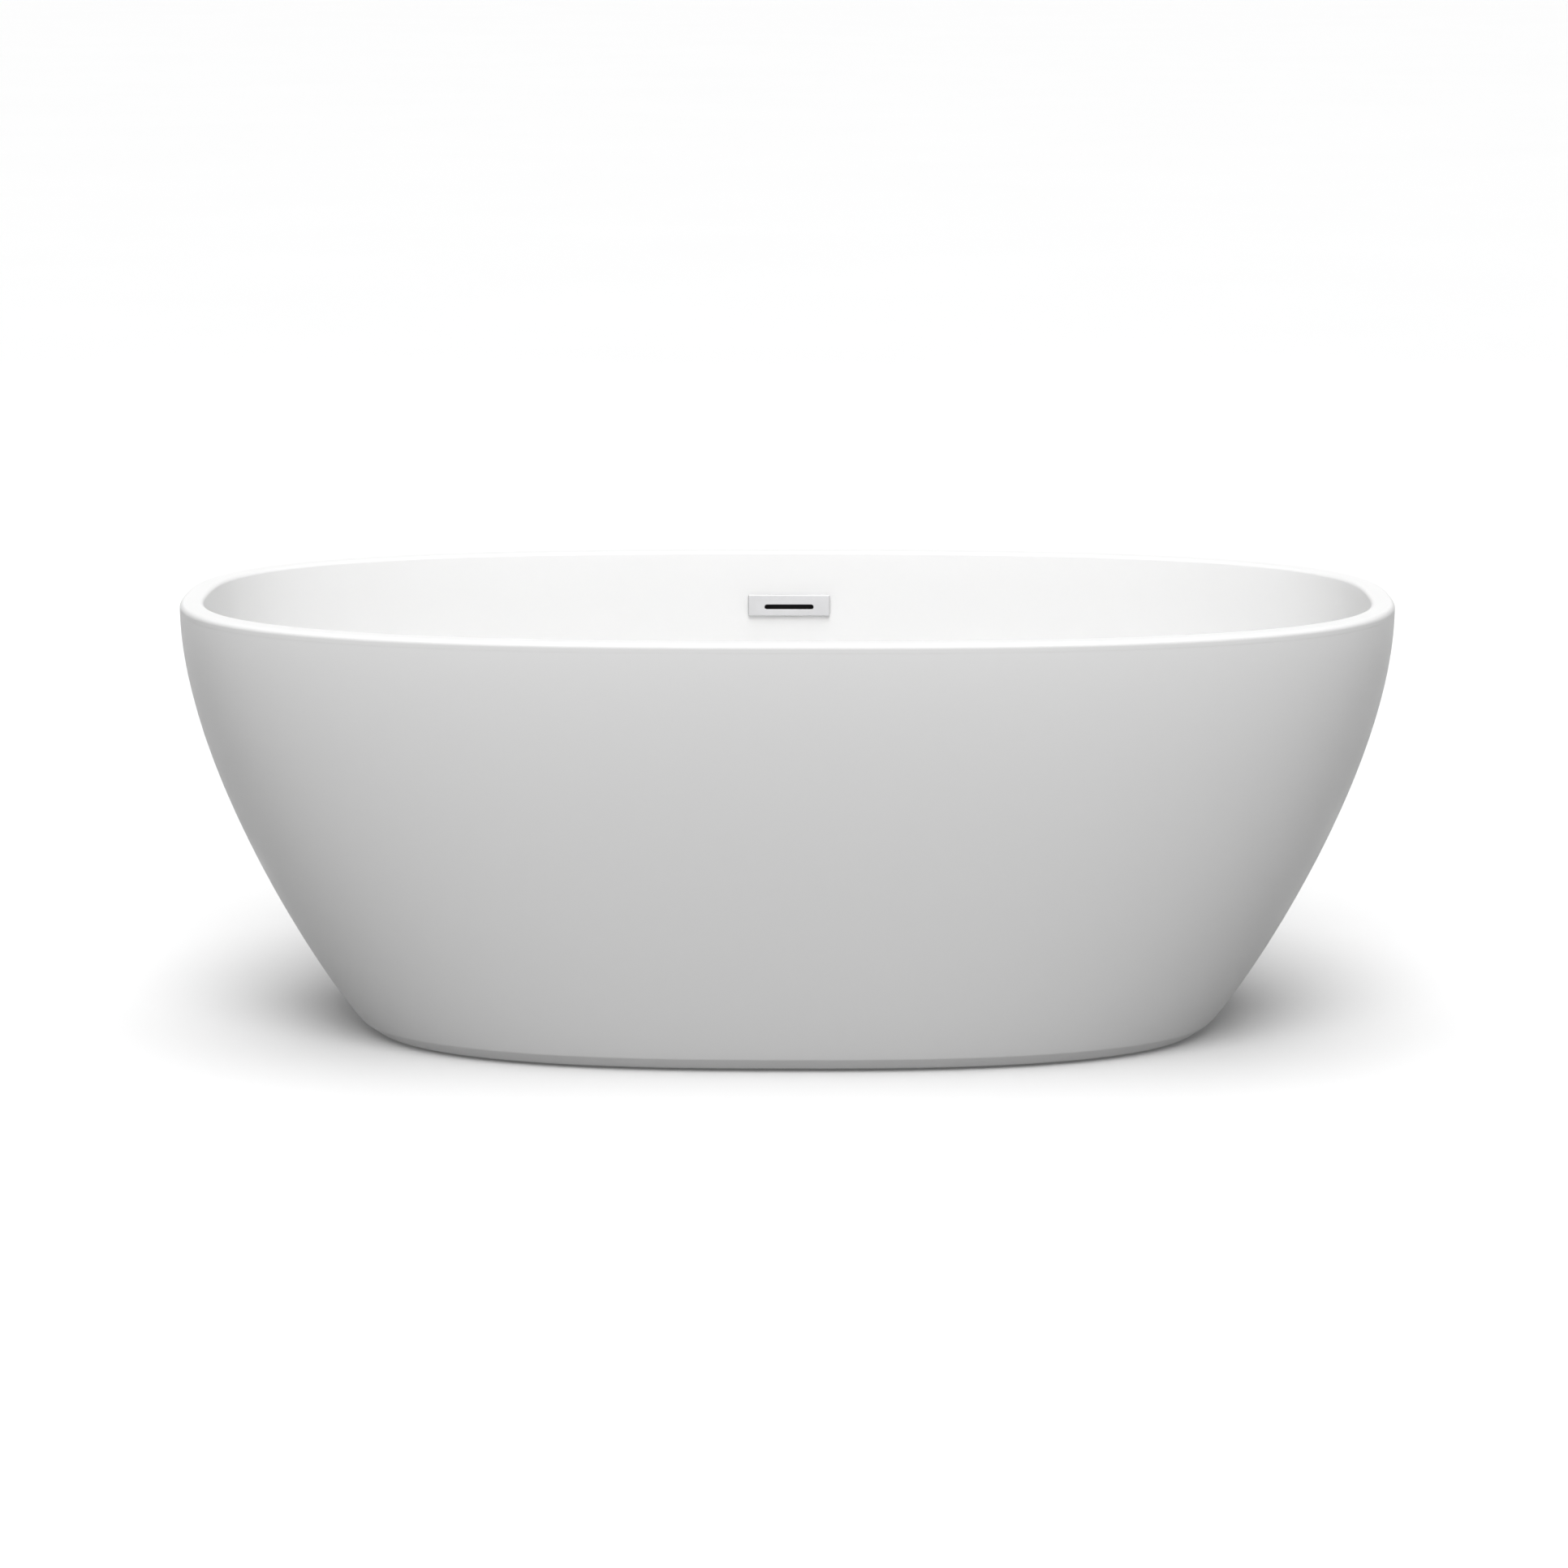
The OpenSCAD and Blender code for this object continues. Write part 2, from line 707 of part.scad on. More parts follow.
module hose_clamp_top() {
    color("silver") translate(overflow_point(duct_y, spigot_low + 12)) rotate([-lean, 0, 0])
        rotate([0, 0, 90]) hose_clamp();
}

module hose_clamp_bottom() {
    color("silver") translate([0, 64, inlet_z]) rotate([-90, 0, 0]) hose_clamp();
}

basin();
skirt();
rim_bond();
base_board();
frame_rail(-1);  // frame_rail_front
frame_rail(1);  // frame_rail_back
frame_cross(-end_x);  // frame_end_left
frame_cross(end_x);  // frame_end_right
frame_cross(-130);  // frame_cross_left
frame_cross(130);  // frame_cross_right
rail_caps();
frame_nuts();
jam_nuts();
board_screws();
end_bracket(-1);  // bracket_left
end_bracket(1);  // bracket_right
side_bracket(-side_x, -1);  // bracket_front_left
side_bracket(side_x, -1);  // bracket_front_right
side_bracket(-side_x, 1);  // bracket_back_left
side_bracket(side_x, 1);  // bracket_back_right
bracket_bolts();
bracket_screws();
bracket_nuts();
foot_pad(-feet_x, -feet_y);  // foot_pad_front_left
foot_pad(feet_x, -feet_y);  // foot_pad_front_right
foot_pad(-feet_x, feet_y);  // foot_pad_back_left
foot_pad(feet_x, feet_y);  // foot_pad_back_right
foot_stud(-feet_x, -feet_y);  // foot_stud_front_left
foot_stud(feet_x, -feet_y);  // foot_stud_front_right
foot_stud(-feet_x, feet_y);  // foot_stud_back_left
foot_stud(feet_x, feet_y);  // foot_stud_back_right
drain_flange();
drain_top_seal();
drain_lower_seal();
drain_tee();
tailpiece();
tailpiece_nut();
tailpiece_washer();
stopper_cap();
stopper_seal();
stopper_stem();
stopper_cartridge();
stopper_spring();
overflow_plate();
overflow_plate_gasket();
overflow_wall_gasket();
overflow_housing();
overflow_nuts();
overflow_hose();
hose_clamp_top();
hose_clamp_bottom();
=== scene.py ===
"""Looks for the freestanding bathtub: smooth shells, chrome, hose, threads and procedural materials."""

import json
import math

import bmesh
import bpy
from mathutils import Matrix, Vector

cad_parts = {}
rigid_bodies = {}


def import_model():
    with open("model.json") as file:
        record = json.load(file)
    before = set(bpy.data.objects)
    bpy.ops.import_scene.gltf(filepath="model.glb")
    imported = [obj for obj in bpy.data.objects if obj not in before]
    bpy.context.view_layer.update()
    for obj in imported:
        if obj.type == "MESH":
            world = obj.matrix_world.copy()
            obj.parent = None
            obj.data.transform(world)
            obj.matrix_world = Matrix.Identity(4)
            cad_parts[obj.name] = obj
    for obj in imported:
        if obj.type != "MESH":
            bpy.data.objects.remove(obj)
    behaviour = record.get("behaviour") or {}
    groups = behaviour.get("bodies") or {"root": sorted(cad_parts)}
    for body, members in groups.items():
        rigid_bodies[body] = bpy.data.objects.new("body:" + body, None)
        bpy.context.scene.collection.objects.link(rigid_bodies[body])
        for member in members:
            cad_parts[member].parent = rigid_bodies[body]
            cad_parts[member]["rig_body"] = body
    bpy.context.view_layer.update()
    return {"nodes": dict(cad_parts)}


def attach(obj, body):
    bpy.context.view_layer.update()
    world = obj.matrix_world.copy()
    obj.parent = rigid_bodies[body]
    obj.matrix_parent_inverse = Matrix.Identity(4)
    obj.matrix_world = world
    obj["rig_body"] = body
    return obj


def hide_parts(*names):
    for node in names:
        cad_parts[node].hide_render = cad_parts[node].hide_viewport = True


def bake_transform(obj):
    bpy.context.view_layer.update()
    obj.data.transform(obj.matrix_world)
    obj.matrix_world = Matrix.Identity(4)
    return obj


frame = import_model()
MM = 0.001

# ---------------------------------------------------------------- sizes, in millimetres, as in the CAD

TUB_H = 600
RIM = (825, 400)  # half the length and half the width of an oval
FOOT = (582, 290)
RIM_W = 32
N_RIM, N_FOOT = 2.67, 2.6  # the ovals' exponents
BASIN_T, SKIRT_T = 8, 7
FLOOR_Z, FLOOR_RISE = 146, 4
UNDER_Z = FLOOR_Z - BASIN_T
GAP = 3
OUT_R, IN_R, FOOT_R = 7, 6, 14
LIP_Z = TUB_H - 12
FLANGE_W = 22
FLOOR_HALF = (420, 170)
RECESS_R, RECESS_H = 60, 0.8
BOARD_T = 15
TUBE, TUBE_WALL = 30, 2
TUBE_Z = UNDER_Z - BOARD_T - TUBE
RAIL_L, RAIL_Y = 860, 165
END_X, CROSS_X = 355, 130
STUD_R, STUD_ROOT, STUD_PITCH = 6, 5.2, 1.75
FOOT_X = 400
FEET = [(row + "_" + side, x, y) for row, y in (("front", -RAIL_Y), ("back", RAIL_Y))
        for side, x in (("left", -FOOT_X), ("right", FOOT_X))]
BOARD_SCREW_X = (-300, -180, 180, 300)
BRACKET_X = 220
DRAIN_LOW = 100
DRAIN_TOP = FLOOR_Z + 1.5
INLET_Z = 72
PLATE_L, PLATE_H, PLATE_Z = 118, 30, 523
SLOT_L, SLOT_H, SLOT_DROP = 71, 7, 2.3
POST_X = 50
HOSE_BACK = 25
RING = 320  # points round each oval

# ---------------------------------------------------------------- places and curves


def mm(x, y, z):
    """A point or a size given in millimetres."""
    return Vector((x, y, z)) * MM


def moved(x, y, z):
    return Matrix.Translation(mm(x, y, z))


def turned(degrees, axis):
    return Matrix.Rotation(math.radians(degrees), 4, axis)


def round_point(r, angle, z):
    """A point in mm at a radius and an angle round the vertical line, in metres."""
    return mm(r * math.cos(angle), r * math.sin(angle), z)


def bezier(p, t):
    """A cubic curve with four control values."""
    return (1 - t) ** 3 * p[0] + 3 * (1 - t) ** 2 * t * p[1] + 3 * (1 - t) * t * t * p[2] + t ** 3 * p[3]


def signed_pow(v, e):
    return math.copysign(abs(v) ** e, v)


def oval_point(a, b, n, angle):
    """A point on the oval |x/a|^n + |y/b|^n = 1."""
    return a * signed_pow(math.cos(angle), 2 / n), b * signed_pow(math.sin(angle), 2 / n)


def even_angles(count):
    """Angles that step evenly along a middling oval, so that no quad is long and thin.

    They mirror left to right and front to back."""
    fine = [oval_point(700, 350, 2.65, math.pi / 2 * i / 4000) for i in range(4001)]
    run = [0.0]
    for p, q in zip(fine, fine[1:]):
        run.append(run[-1] + math.dist(p, q))
    quarter, k = [], 0
    for i in range(count // 4):
        goal = run[-1] * i / (count // 4)
        while run[k + 1] < goal:
            k += 1
        quarter.append(math.pi / 2 * (k + (goal - run[k]) / (run[k + 1] - run[k])) / 4000)
    half = quarter + [math.pi / 2] + [math.pi - a for a in reversed(quarter[1:])]
    return half + [math.pi + a for a in half]


ANGLES = even_angles(RING)


def oval(half_l, half_w, n, z):
    return [mm(*oval_point(half_l, half_w, n, a), z) for a in ANGLES]


def outer_row(t, inset):
    """The skirt's outline at t, from 0 at the foot to 1 at the rim.

    It gives the half length, the half width, the oval's exponent and the height, as every row does."""
    z = bezier((8, TUB_H * 0.02, TUB_H * 0.58, LIP_Z), t)
    s = bezier((0, 0.089, 1, 1), t)
    return (FOOT[0] + (RIM[0] - FOOT[0]) * s - inset, FOOT[1] + (RIM[1] - FOOT[1]) * s - inset,
            N_FOOT + (N_RIM - N_FOOT) * z / TUB_H, z)


def inner_row(t, push=0, drop=0, top=TUB_H - IN_R):
    """The basin's inside at t, from 0 at the rim to 1 at the floor. push and drop give its other face."""
    half = [bezier((RIM[k] - RIM_W + push, RIM[k] - RIM_W - 28 + push, FLOOR_HALF[k] + (220, 130)[k] + push,
                    FLOOR_HALF[k]), t) for k in (0, 1)]
    z = bezier((top, 440 - drop / 2, FLOOR_Z + FLOOR_RISE - drop, FLOOR_Z + FLOOR_RISE - drop), t)
    return half[0], half[1], N_RIM, z


def edge_rows(a, b, z, r, start, end, steps, n):
    """Rows round an edge whose section is an arc of radius r, between two angles in degrees."""
    angles = [math.radians(start + (end - start) * i / steps) for i in range(steps + 1)]
    return [(a + r * math.cos(g), b + r * math.cos(g), n, z + r * math.sin(g)) for g in angles]


def inner_t(z):
    """The t at which the basin's inside is at height z."""
    low, high = 0.0, 1.0
    for _ in range(40):
        mid = (low + high) / 2
        low, high = (mid, high) if inner_row(mid)[3] > z else (low, mid)
    return low


def wall_y(z):
    return inner_row(inner_t(z))[1]


LEAN = math.atan2(wall_y(PLATE_Z + 20) - wall_y(PLATE_Z - 20), 40)
WALL_Y = (wall_y(PLATE_Z + 20) + wall_y(PLATE_Z - 20)) / 2 - 0.5
AT_OVERFLOW = moved(0, WALL_Y, PLATE_Z) @ Matrix.Rotation(-LEAN, 4, "X")

# ---------------------------------------------------------------- materials


def group(nodes, kind, **settings):
    """A shader node with its settings and its inputs' values, by name."""
    node = nodes.new(kind)
    for key, value in settings.items():
        if hasattr(node, key):
            setattr(node, key, value)
        else:
            node.inputs[key.replace("_", " ")].default_value = value
    return node


class Surface:
    """One procedural material: a Principled shader whose colour, roughness and bump come from noise.

    The noise lies in the object's own space."""

    def __init__(self, name, **sockets):
        self.mat = bpy.data.materials.new(name)
        self.mat.use_nodes = True
        self.tree = self.mat.node_tree
        self.nodes, self.links = self.tree.nodes, self.tree.links
        self.shader = self.nodes["Principled BSDF"]
        for key, value in sockets.items():
            self.shader.inputs[key.replace("_", " ")].default_value = value
        self.place = self.nodes.new("ShaderNodeTexCoord").outputs["Object"]
        self.normal = None

    def scaled(self, x=1.0, y=1.0, z=1.0, rotation=(0, 0, 0)):
        node = self.nodes.new("ShaderNodeMapping")
        node.inputs["Scale"].default_value = (x, y, z)
        node.inputs["Rotation"].default_value = rotation
        self.links.new(self.place, node.inputs["Vector"])
        return node.outputs["Vector"]

    def noise(self, scale, detail=3.0, roughness=0.55, distortion=0.0, vector=None):
        node = group(self.nodes, "ShaderNodeTexNoise", Scale=scale, Detail=detail, Roughness=roughness,
                     Distortion=distortion)
        self.links.new(vector or self.place, node.inputs["Vector"])
        return node.outputs["Fac"]

    def ramp(self, value, stops):
        node = self.nodes.new("ShaderNodeValToRGB")
        while len(node.color_ramp.elements) < len(stops):
            node.color_ramp.elements.new(0.5)
        for element, (position, colour) in zip(node.color_ramp.elements, stops):
            element.position = position
            element.color = (*colour, 1)
        self.links.new(value, node.inputs["Fac"])
        return node.outputs["Color"]

    def spread(self, value, low, high, from_low=0.3, from_high=0.7):
        node = group(self.nodes, "ShaderNodeMapRange")
        node.inputs["From Min"].default_value = from_low
        node.inputs["From Max"].default_value = from_high
        node.inputs["To Min"].default_value = low
        node.inputs["To Max"].default_value = high
        self.links.new(value, node.inputs["Value"])
        return node.outputs["Result"]

    def feed(self, socket, value):
        """Links a socket to another node's output, or sets it to a number or a colour."""
        if isinstance(value, tuple):
            socket.default_value = (*value, 1)
        elif isinstance(value, (int, float)):
            socket.default_value = value
        else:
            self.links.new(value, socket)

    def mix(self, factor, a, b):
        node = self.nodes.new("ShaderNodeMix")
        node.data_type = "RGBA"
        for index, value in ((0, factor), (6, a), (7, b)):
            self.feed(node.inputs[index], value)
        return node.outputs[2]

    def math(self, operation, a, b):
        node = self.nodes.new("ShaderNodeMath")
        node.operation = operation
        self.feed(node.inputs[0], a)
        self.feed(node.inputs[1], b)
        return node.outputs[0]

    def colour(self, value):
        self.links.new(value, self.shader.inputs["Base Color"])

    def rough(self, value):
        self.links.new(value, self.shader.inputs["Roughness"])

    def bump(self, height, distance, strength=1.0):
        node = group(self.nodes, "ShaderNodeBump", Strength=strength, Distance=distance)
        self.links.new(height, node.inputs["Height"])
        if self.normal:
            self.links.new(self.normal, node.inputs["Normal"])
        self.normal = node.outputs["Normal"]
        self.links.new(self.normal, self.shader.inputs["Normal"])


def acrylic():
    s = Surface("white_acrylic", IOR=1.49, Specular_IOR_Level=0.35)
    s.colour(s.ramp(s.noise(2.2, 4), [(0.3, (0.876, 0.876, 0.874)), (0.7, (0.882, 0.882, 0.880))]))
    s.rough(s.spread(s.noise(9, 5, 0.6), 0.36, 0.44))
    s.bump(s.noise(7, 2), 0.0012, 0.25)
    s.bump(s.noise(900, 2), 0.00002, 0.3)
    return s.mat


def laminate():
    """Glass-fibre backing: chopped strands lying every way under a thin resin skin."""
    s = Surface("glass_fibre_laminate", IOR=1.54)
    strands = None
    for k in range(4):
        across = s.scaled(1, 1, 1, rotation=(0.5 * k + 0.2, 0.9 * k, 0.8 * k + 0.3))
        node = s.nodes.new("ShaderNodeMapping")
        node.inputs["Scale"].default_value = (340, 22, 340)
        s.links.new(across, node.inputs["Vector"])
        layer = s.spread(s.noise(1.0, 2, 0.5, vector=node.outputs["Vector"]), 0, 1, 0.55, 0.68)
        strands = layer if strands is None else s.math("MAXIMUM", strands, layer)
    tone = s.ramp(s.noise(5, 5), [(0.3, (0.60, 0.60, 0.50)), (0.72, (0.72, 0.71, 0.61))])
    s.colour(s.mix(strands, tone, (0.80, 0.80, 0.72)))
    s.rough(s.spread(strands, 0.38, 0.62, 0, 1))
    s.bump(strands, 0.0006, 0.5)
    s.bump(s.noise(26, 4), 0.0020, 0.45)
    return s.mat


def metal(name, colour, rough_low, rough_high, scale=60, wear=0.0, streak=None, bump=0.00004):
    s = Surface(name, Metallic=1.0)
    base = s.noise(scale, 5, 0.6)
    dark = tuple(c * (0.93 - wear) for c in colour)
    s.colour(s.ramp(base, [(0.32, dark), (0.68, colour)]))
    fine = s.noise(scale * 4, 4, vector=s.scaled(*streak)) if streak else s.noise(scale * 2.7, 6, 0.65)
    s.rough(s.spread(fine, rough_low, rough_high))
    s.bump(fine, bump, 0.4)
    return s


def zinc_plate():
    s = metal("zinc_plated_steel", (0.70, 0.70, 0.68), 0.24, 0.46, scale=45, wear=0.06)
    bloom = s.spread(s.noise(140, 5, 0.7), 0, 0.5, 0.55, 0.75)
    plate = s.ramp(s.noise(40, 4), [(0.3, (0.60, 0.60, 0.57)), (0.7, (0.74, 0.74, 0.73))])
    s.colour(s.mix(bloom, plate, (0.80, 0.78, 0.70)))
    return s.mat


def frame_paint():
    s = Surface("grey_frame_paint", Metallic=0.35, IOR=1.5, Coat_Weight=0.15, Coat_Roughness=0.35)
    patch = s.noise(14, 6, 0.65)
    greys = [(0.3, (0.30, 0.31, 0.32)), (0.55, (0.38, 0.39, 0.40)), (0.75, (0.43, 0.44, 0.45))]
    s.colour(s.ramp(patch, greys))
    s.rough(s.spread(s.noise(320, 3), 0.38, 0.58))
    s.bump(s.noise(700, 3), 0.00006, 0.5)
    return s.mat


def plastic(name, dark, light, rough_low, rough_high, grain=1400, scale=30):
    s = Surface(name, IOR=1.5)
    s.colour(s.ramp(s.noise(scale, 4), [(0.3, dark), (0.7, light)]))
    s.rough(s.spread(s.noise(grain / 3, 4), rough_low, rough_high))
    s.bump(s.noise(grain, 2), 0.00005, 0.5)
    return s.mat


def wood_board():
    """A plain exterior plywood: long grain along X on the faces, plies along the edges."""
    s = Surface("plywood_board", IOR=1.45)
    grain = s.noise(1.0, 6, 0.6, 0.6, s.scaled(3.5, 55, 3))
    fibre = s.noise(1.0, 3, 0.5, 0.0, s.scaled(20, 900, 400))
    face = s.ramp(grain, [(0.28, (0.36, 0.22, 0.11)), (0.5, (0.52, 0.35, 0.19)), (0.72, (0.62, 0.45, 0.27))])
    wave = group(s.nodes, "ShaderNodeTexWave", wave_type="BANDS", bands_direction="Z", Scale=105.0,
                 Distortion=0.6, Detail=2.0)
    s.links.new(s.place, wave.inputs["Vector"])
    plies = s.ramp(wave.outputs["Fac"], [(0.35, (0.30, 0.18, 0.09)), (0.6, (0.58, 0.42, 0.25))])
    facing = s.nodes.new("ShaderNodeNewGeometry")
    apart = s.nodes.new("ShaderNodeSeparateXYZ")
    s.links.new(facing.outputs["True Normal"], apart.inputs[0])
    flat = s.math("ABSOLUTE", apart.outputs["Z"], 0)
    tone = s.mix(s.spread(flat, 0, 1, 0.3, 0.6), plies, face)
    s.colour(s.mix(s.spread(fibre, 0, 0.35, 0.45, 0.7), tone, (0.28, 0.17, 0.08)))
    s.rough(s.spread(fibre, 0.55, 0.8))
    s.bump(fibre, 0.0002, 0.5)
    return s.mat


def paste():
    s = Surface("bonding_paste", IOR=1.5)
    s.colour(s.ramp(s.noise(35, 5), [(0.3, (0.55, 0.50, 0.38)), (0.7, (0.68, 0.64, 0.53))]))
    s.rough(s.spread(s.noise(80, 4), 0.5, 0.75))
    s.bump(s.noise(60, 5), 0.0012, 0.7)
    return s.mat


ACRYLIC, LAMINATE, PASTE, PLYWOOD = acrylic(), laminate(), paste(), wood_board()
CHROME = metal("polished_chrome", (0.78, 0.78, 0.79), 0.05, 0.12, scale=25, bump=0.000004).mat
ZINC, PAINT = zinc_plate(), frame_paint()
STAINLESS = metal("stainless_steel", (0.66, 0.65, 0.63), 0.20, 0.34, scale=70, streak=(1, 1, 14)).mat
BRASS = metal("turned_brass", (0.78, 0.60, 0.30), 0.18, 0.32, scale=60, wear=0.08, streak=(1, 1, 20)).mat
BLACK = plastic("black_plastic", (0.020, 0.020, 0.021), (0.034, 0.034, 0.035), 0.42, 0.56)
FOOT_BLACK = plastic("foot_plastic", (0.028, 0.028, 0.028), (0.05, 0.05, 0.05), 0.5, 0.7, grain=900)
SEAL = plastic("seal_rubber", (0.018, 0.018, 0.019), (0.035, 0.035, 0.036), 0.62, 0.82, grain=1100)
FOAM = plastic("foam_gasket", (0.022, 0.022, 0.022), (0.05, 0.05, 0.05), 0.85, 0.98, grain=1900)
WHITE_NYLON = plastic("white_nylon", (0.70, 0.70, 0.67), (0.78, 0.78, 0.75), 0.35, 0.5)
HOSE_GREY = plastic("grey_hose", (0.30, 0.30, 0.295), (0.38, 0.38, 0.375), 0.42, 0.6, scale=18)

# ---------------------------------------------------------------- mesh helpers


def shade(mesh, sharp):
    """Smooth shading whose normals lean to the larger faces.

    A flat face then stays flat beside a small round."""
    limit = math.cos(math.radians(sharp))
    around = [[] for _ in mesh.vertices]
    for polygon in mesh.polygons:
        polygon.use_smooth = True
        for v in polygon.vertices:
            around[v].append((polygon.normal.copy(), polygon.area))
    mesh.set_sharp_from_angle(angle=math.radians(sharp))
    normals = []
    for polygon in mesh.polygons:
        own = polygon.normal.copy()
        for v in polygon.vertices:
            total = Vector((0, 0, 0))
            for normal, size in around[v]:
                if normal.dot(own) > limit:
                    total += normal * size
            normals.append(total.normalized() if total.length > 0 else own)
    mesh.normals_split_custom_set(normals)


def from_bmesh(bm, name, body, node, slot, *mats, sharp=35):
    """The finished piece: on its body, in place of its CAD node, with its materials; its slot argument is not
    used.
    """
    bmesh.ops.recalc_face_normals(bm, faces=bm.faces)
    mesh = bpy.data.meshes.new(name)
    bm.to_mesh(mesh)
    bm.free()
    for m in mats:
        mesh.materials.append(m)
    obj = bpy.data.objects.new(name, mesh)
    bpy.context.scene.collection.objects.link(obj)
    shade(mesh, sharp)
    if body:
        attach(obj, body)
    if node:
        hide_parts(node)
    return obj


def bridge(bm, a, b, tag=0):
    """A band of quads between two closed rings of the same length."""
    for k in range(len(a)):
        m = (k + 1) % len(a)
        bm.faces.new((a[k], a[m], b[m], b[k])).material_index = tag


def close_ends(bm, rings):
    bm.faces.new(rings[0][::-1])
    bm.faces.new(rings[-1])


def prism(bm, a, b):
    """A solid between two flat outlines of the same number of corners."""
    bm.faces.new(a)
    bm.faces.new(b[::-1])
    for i in range(len(a)):
        m = (i + 1) % len(a)
        bm.faces.new((a[i], b[i], b[m], a[m]))


def block(bm, size, place):
    """A cuboid of a size in mm, centred on place."""
    return bmesh.ops.create_cube(bm, size=1, matrix=place @ Matrix.Diagonal(mm(*size)).to_4x4())


def band(tag, *rows):
    """Rows of a loft, each with the material of the band that starts at it."""
    return [(row, tag) for row in rows]


def ring_mesh(rows, skip=lambda i, j: False):
    """A closed loft: each row of a band joined to the next, and the last to the first."""
    bm = bmesh.new()
    verts = [[bm.verts.new(p) for p in oval(*row)] for row, _ in rows]
    count = len(rows)
    for i in range(count):
        for j in range(RING):
            if skip(i, j):
                continue
            m = (j + 1) % RING
            k = (i + 1) % count
            face = bm.faces.new((verts[i][j], verts[i][m], verts[k][m], verts[k][j]))
            face.material_index = rows[i][1]
    return bm, verts


def lathe(bm, profile, steps=96, place=Matrix.Identity(4)):
    """Spins a closed outline of (radius, height) pairs, in mm, round place's Z axis.

    A radius of 0 closes on the axis."""
    turns = [2 * math.pi * k / steps for k in range(steps)]
    rings = []
    for r, z in profile:
        angles = turns if r > 1e-6 else [0]
        rings.append([bm.verts.new(place @ round_point(r, g, z)) for g in angles])
    pairs = list(zip(rings, rings[1:]))
    if len(rings[0]) > 1 or len(rings[-1]) > 1:
        pairs.append((rings[-1], rings[0]))
    for a, b in pairs:
        for k in range(steps):
            m = (k + 1) % steps
            corners = [a[k % len(a)], a[m % len(a)], b[m % len(b)], b[k % len(b)]]
            corners = list(dict.fromkeys(corners))
            if len(corners) > 2:
                bm.faces.new(corners)
    return bm


def rounded(points, radius, steps=3):
    """A closed outline with each corner rounded by about radius."""
    out = []
    for k, p in enumerate(points):
        a, b, c = Vector(points[k - 1]), Vector(p), Vector(points[(k + 1) % len(points)])
        da, dc = (a - b).length, (c - b).length
        on_axis = abs(b.x) < 1e-6
        if on_axis or da < 1e-6 or dc < 1e-6:
            out.append(tuple(b))
            continue
        cut = min(radius, da * 0.45, dc * 0.45)
        p0, p1 = b + (a - b) * (cut / da), b + (c - b) * (cut / dc)
        for s in range(steps + 1):
            t = s / steps
            q = (1 - t) ** 2 * p0 + 2 * t * (1 - t) * b + t * t * p1
            out.append((q.x, q.y))
    return out


def tube_mesh(bm, points, radii, sides, closed=True, phase=0.0):
    """A round tube along points in metres, with a radius in metres at each point."""
    last = len(points) - 1
    tangents = [(points[min(i + 1, last)] - points[max(i - 1, 0)]).normalized() for i in range(last + 1)]
    side = tangents[0].orthogonal().normalized()
    rings = []
    for p, d, r in zip(points, tangents, radii):
        side = (side - d * side.dot(d)).normalized()
        up = d.cross(side)
        rings.append([bm.verts.new(p + (side * math.cos(g) + up * math.sin(g)) * r)
                      for g in (phase + 2 * math.pi * k / sides for k in range(sides))])
    for a, b in zip(rings, rings[1:]):
        bridge(bm, a, b)
    if closed:
        close_ends(bm, rings)
    return rings


def softened(node, mat, slot, width=0.5, segments=2):
    """A CAD node's own shape with its coplanar triangles merged and its hard edges rounded."""
    source = frame["nodes"][node]
    bm = bmesh.new()
    bm.from_mesh(source.data)
    bmesh.ops.remove_doubles(bm, verts=bm.verts, dist=2e-6)
    bmesh.ops.dissolve_limit(bm, angle_limit=math.radians(0.6), verts=bm.verts, edges=bm.edges)
    hard = [e for e in bm.edges if len(e.link_faces) == 2 and e.calc_face_angle(0) > math.radians(30)]
    bmesh.ops.bevel(bm, geom=hard, offset=width * MM, segments=segments, profile=0.5, affect="EDGES",
                    clamp_overlap=True)
    for face in bm.faces:
        face.material_index = 0
    return from_bmesh(bm, node + "_finished", source["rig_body"], node, slot, mat, sharp=40)


def outline_ring(bm, outline, grow, y, place, shift_z=0):
    """The vertices of an outline in X and Z, moved out along its normals by grow and set at y, all in mm."""
    return [bm.verts.new(place @ mm(p[0] + n[0] * grow, y, p[1] + n[1] * grow + shift_z)) for p, n in outline]


def rounded_rectangle(length, height, r, steps):
    """Outline points with their outward normals, anticlockwise."""
    out = []
    for sx, sz, start in ((1, 1, 0), (-1, 1, 90), (-1, -1, 180), (1, -1, 270)):
        for s in range(steps + 1):
            g = math.radians(start + 90 * s / steps)
            n = (math.cos(g), math.sin(g))
            out.append(((sx * (length / 2 - r) + r * n[0], sz * (height / 2 - r) + r * n[1]), n))
    return out


# ---------------------------------------------------------------- shells


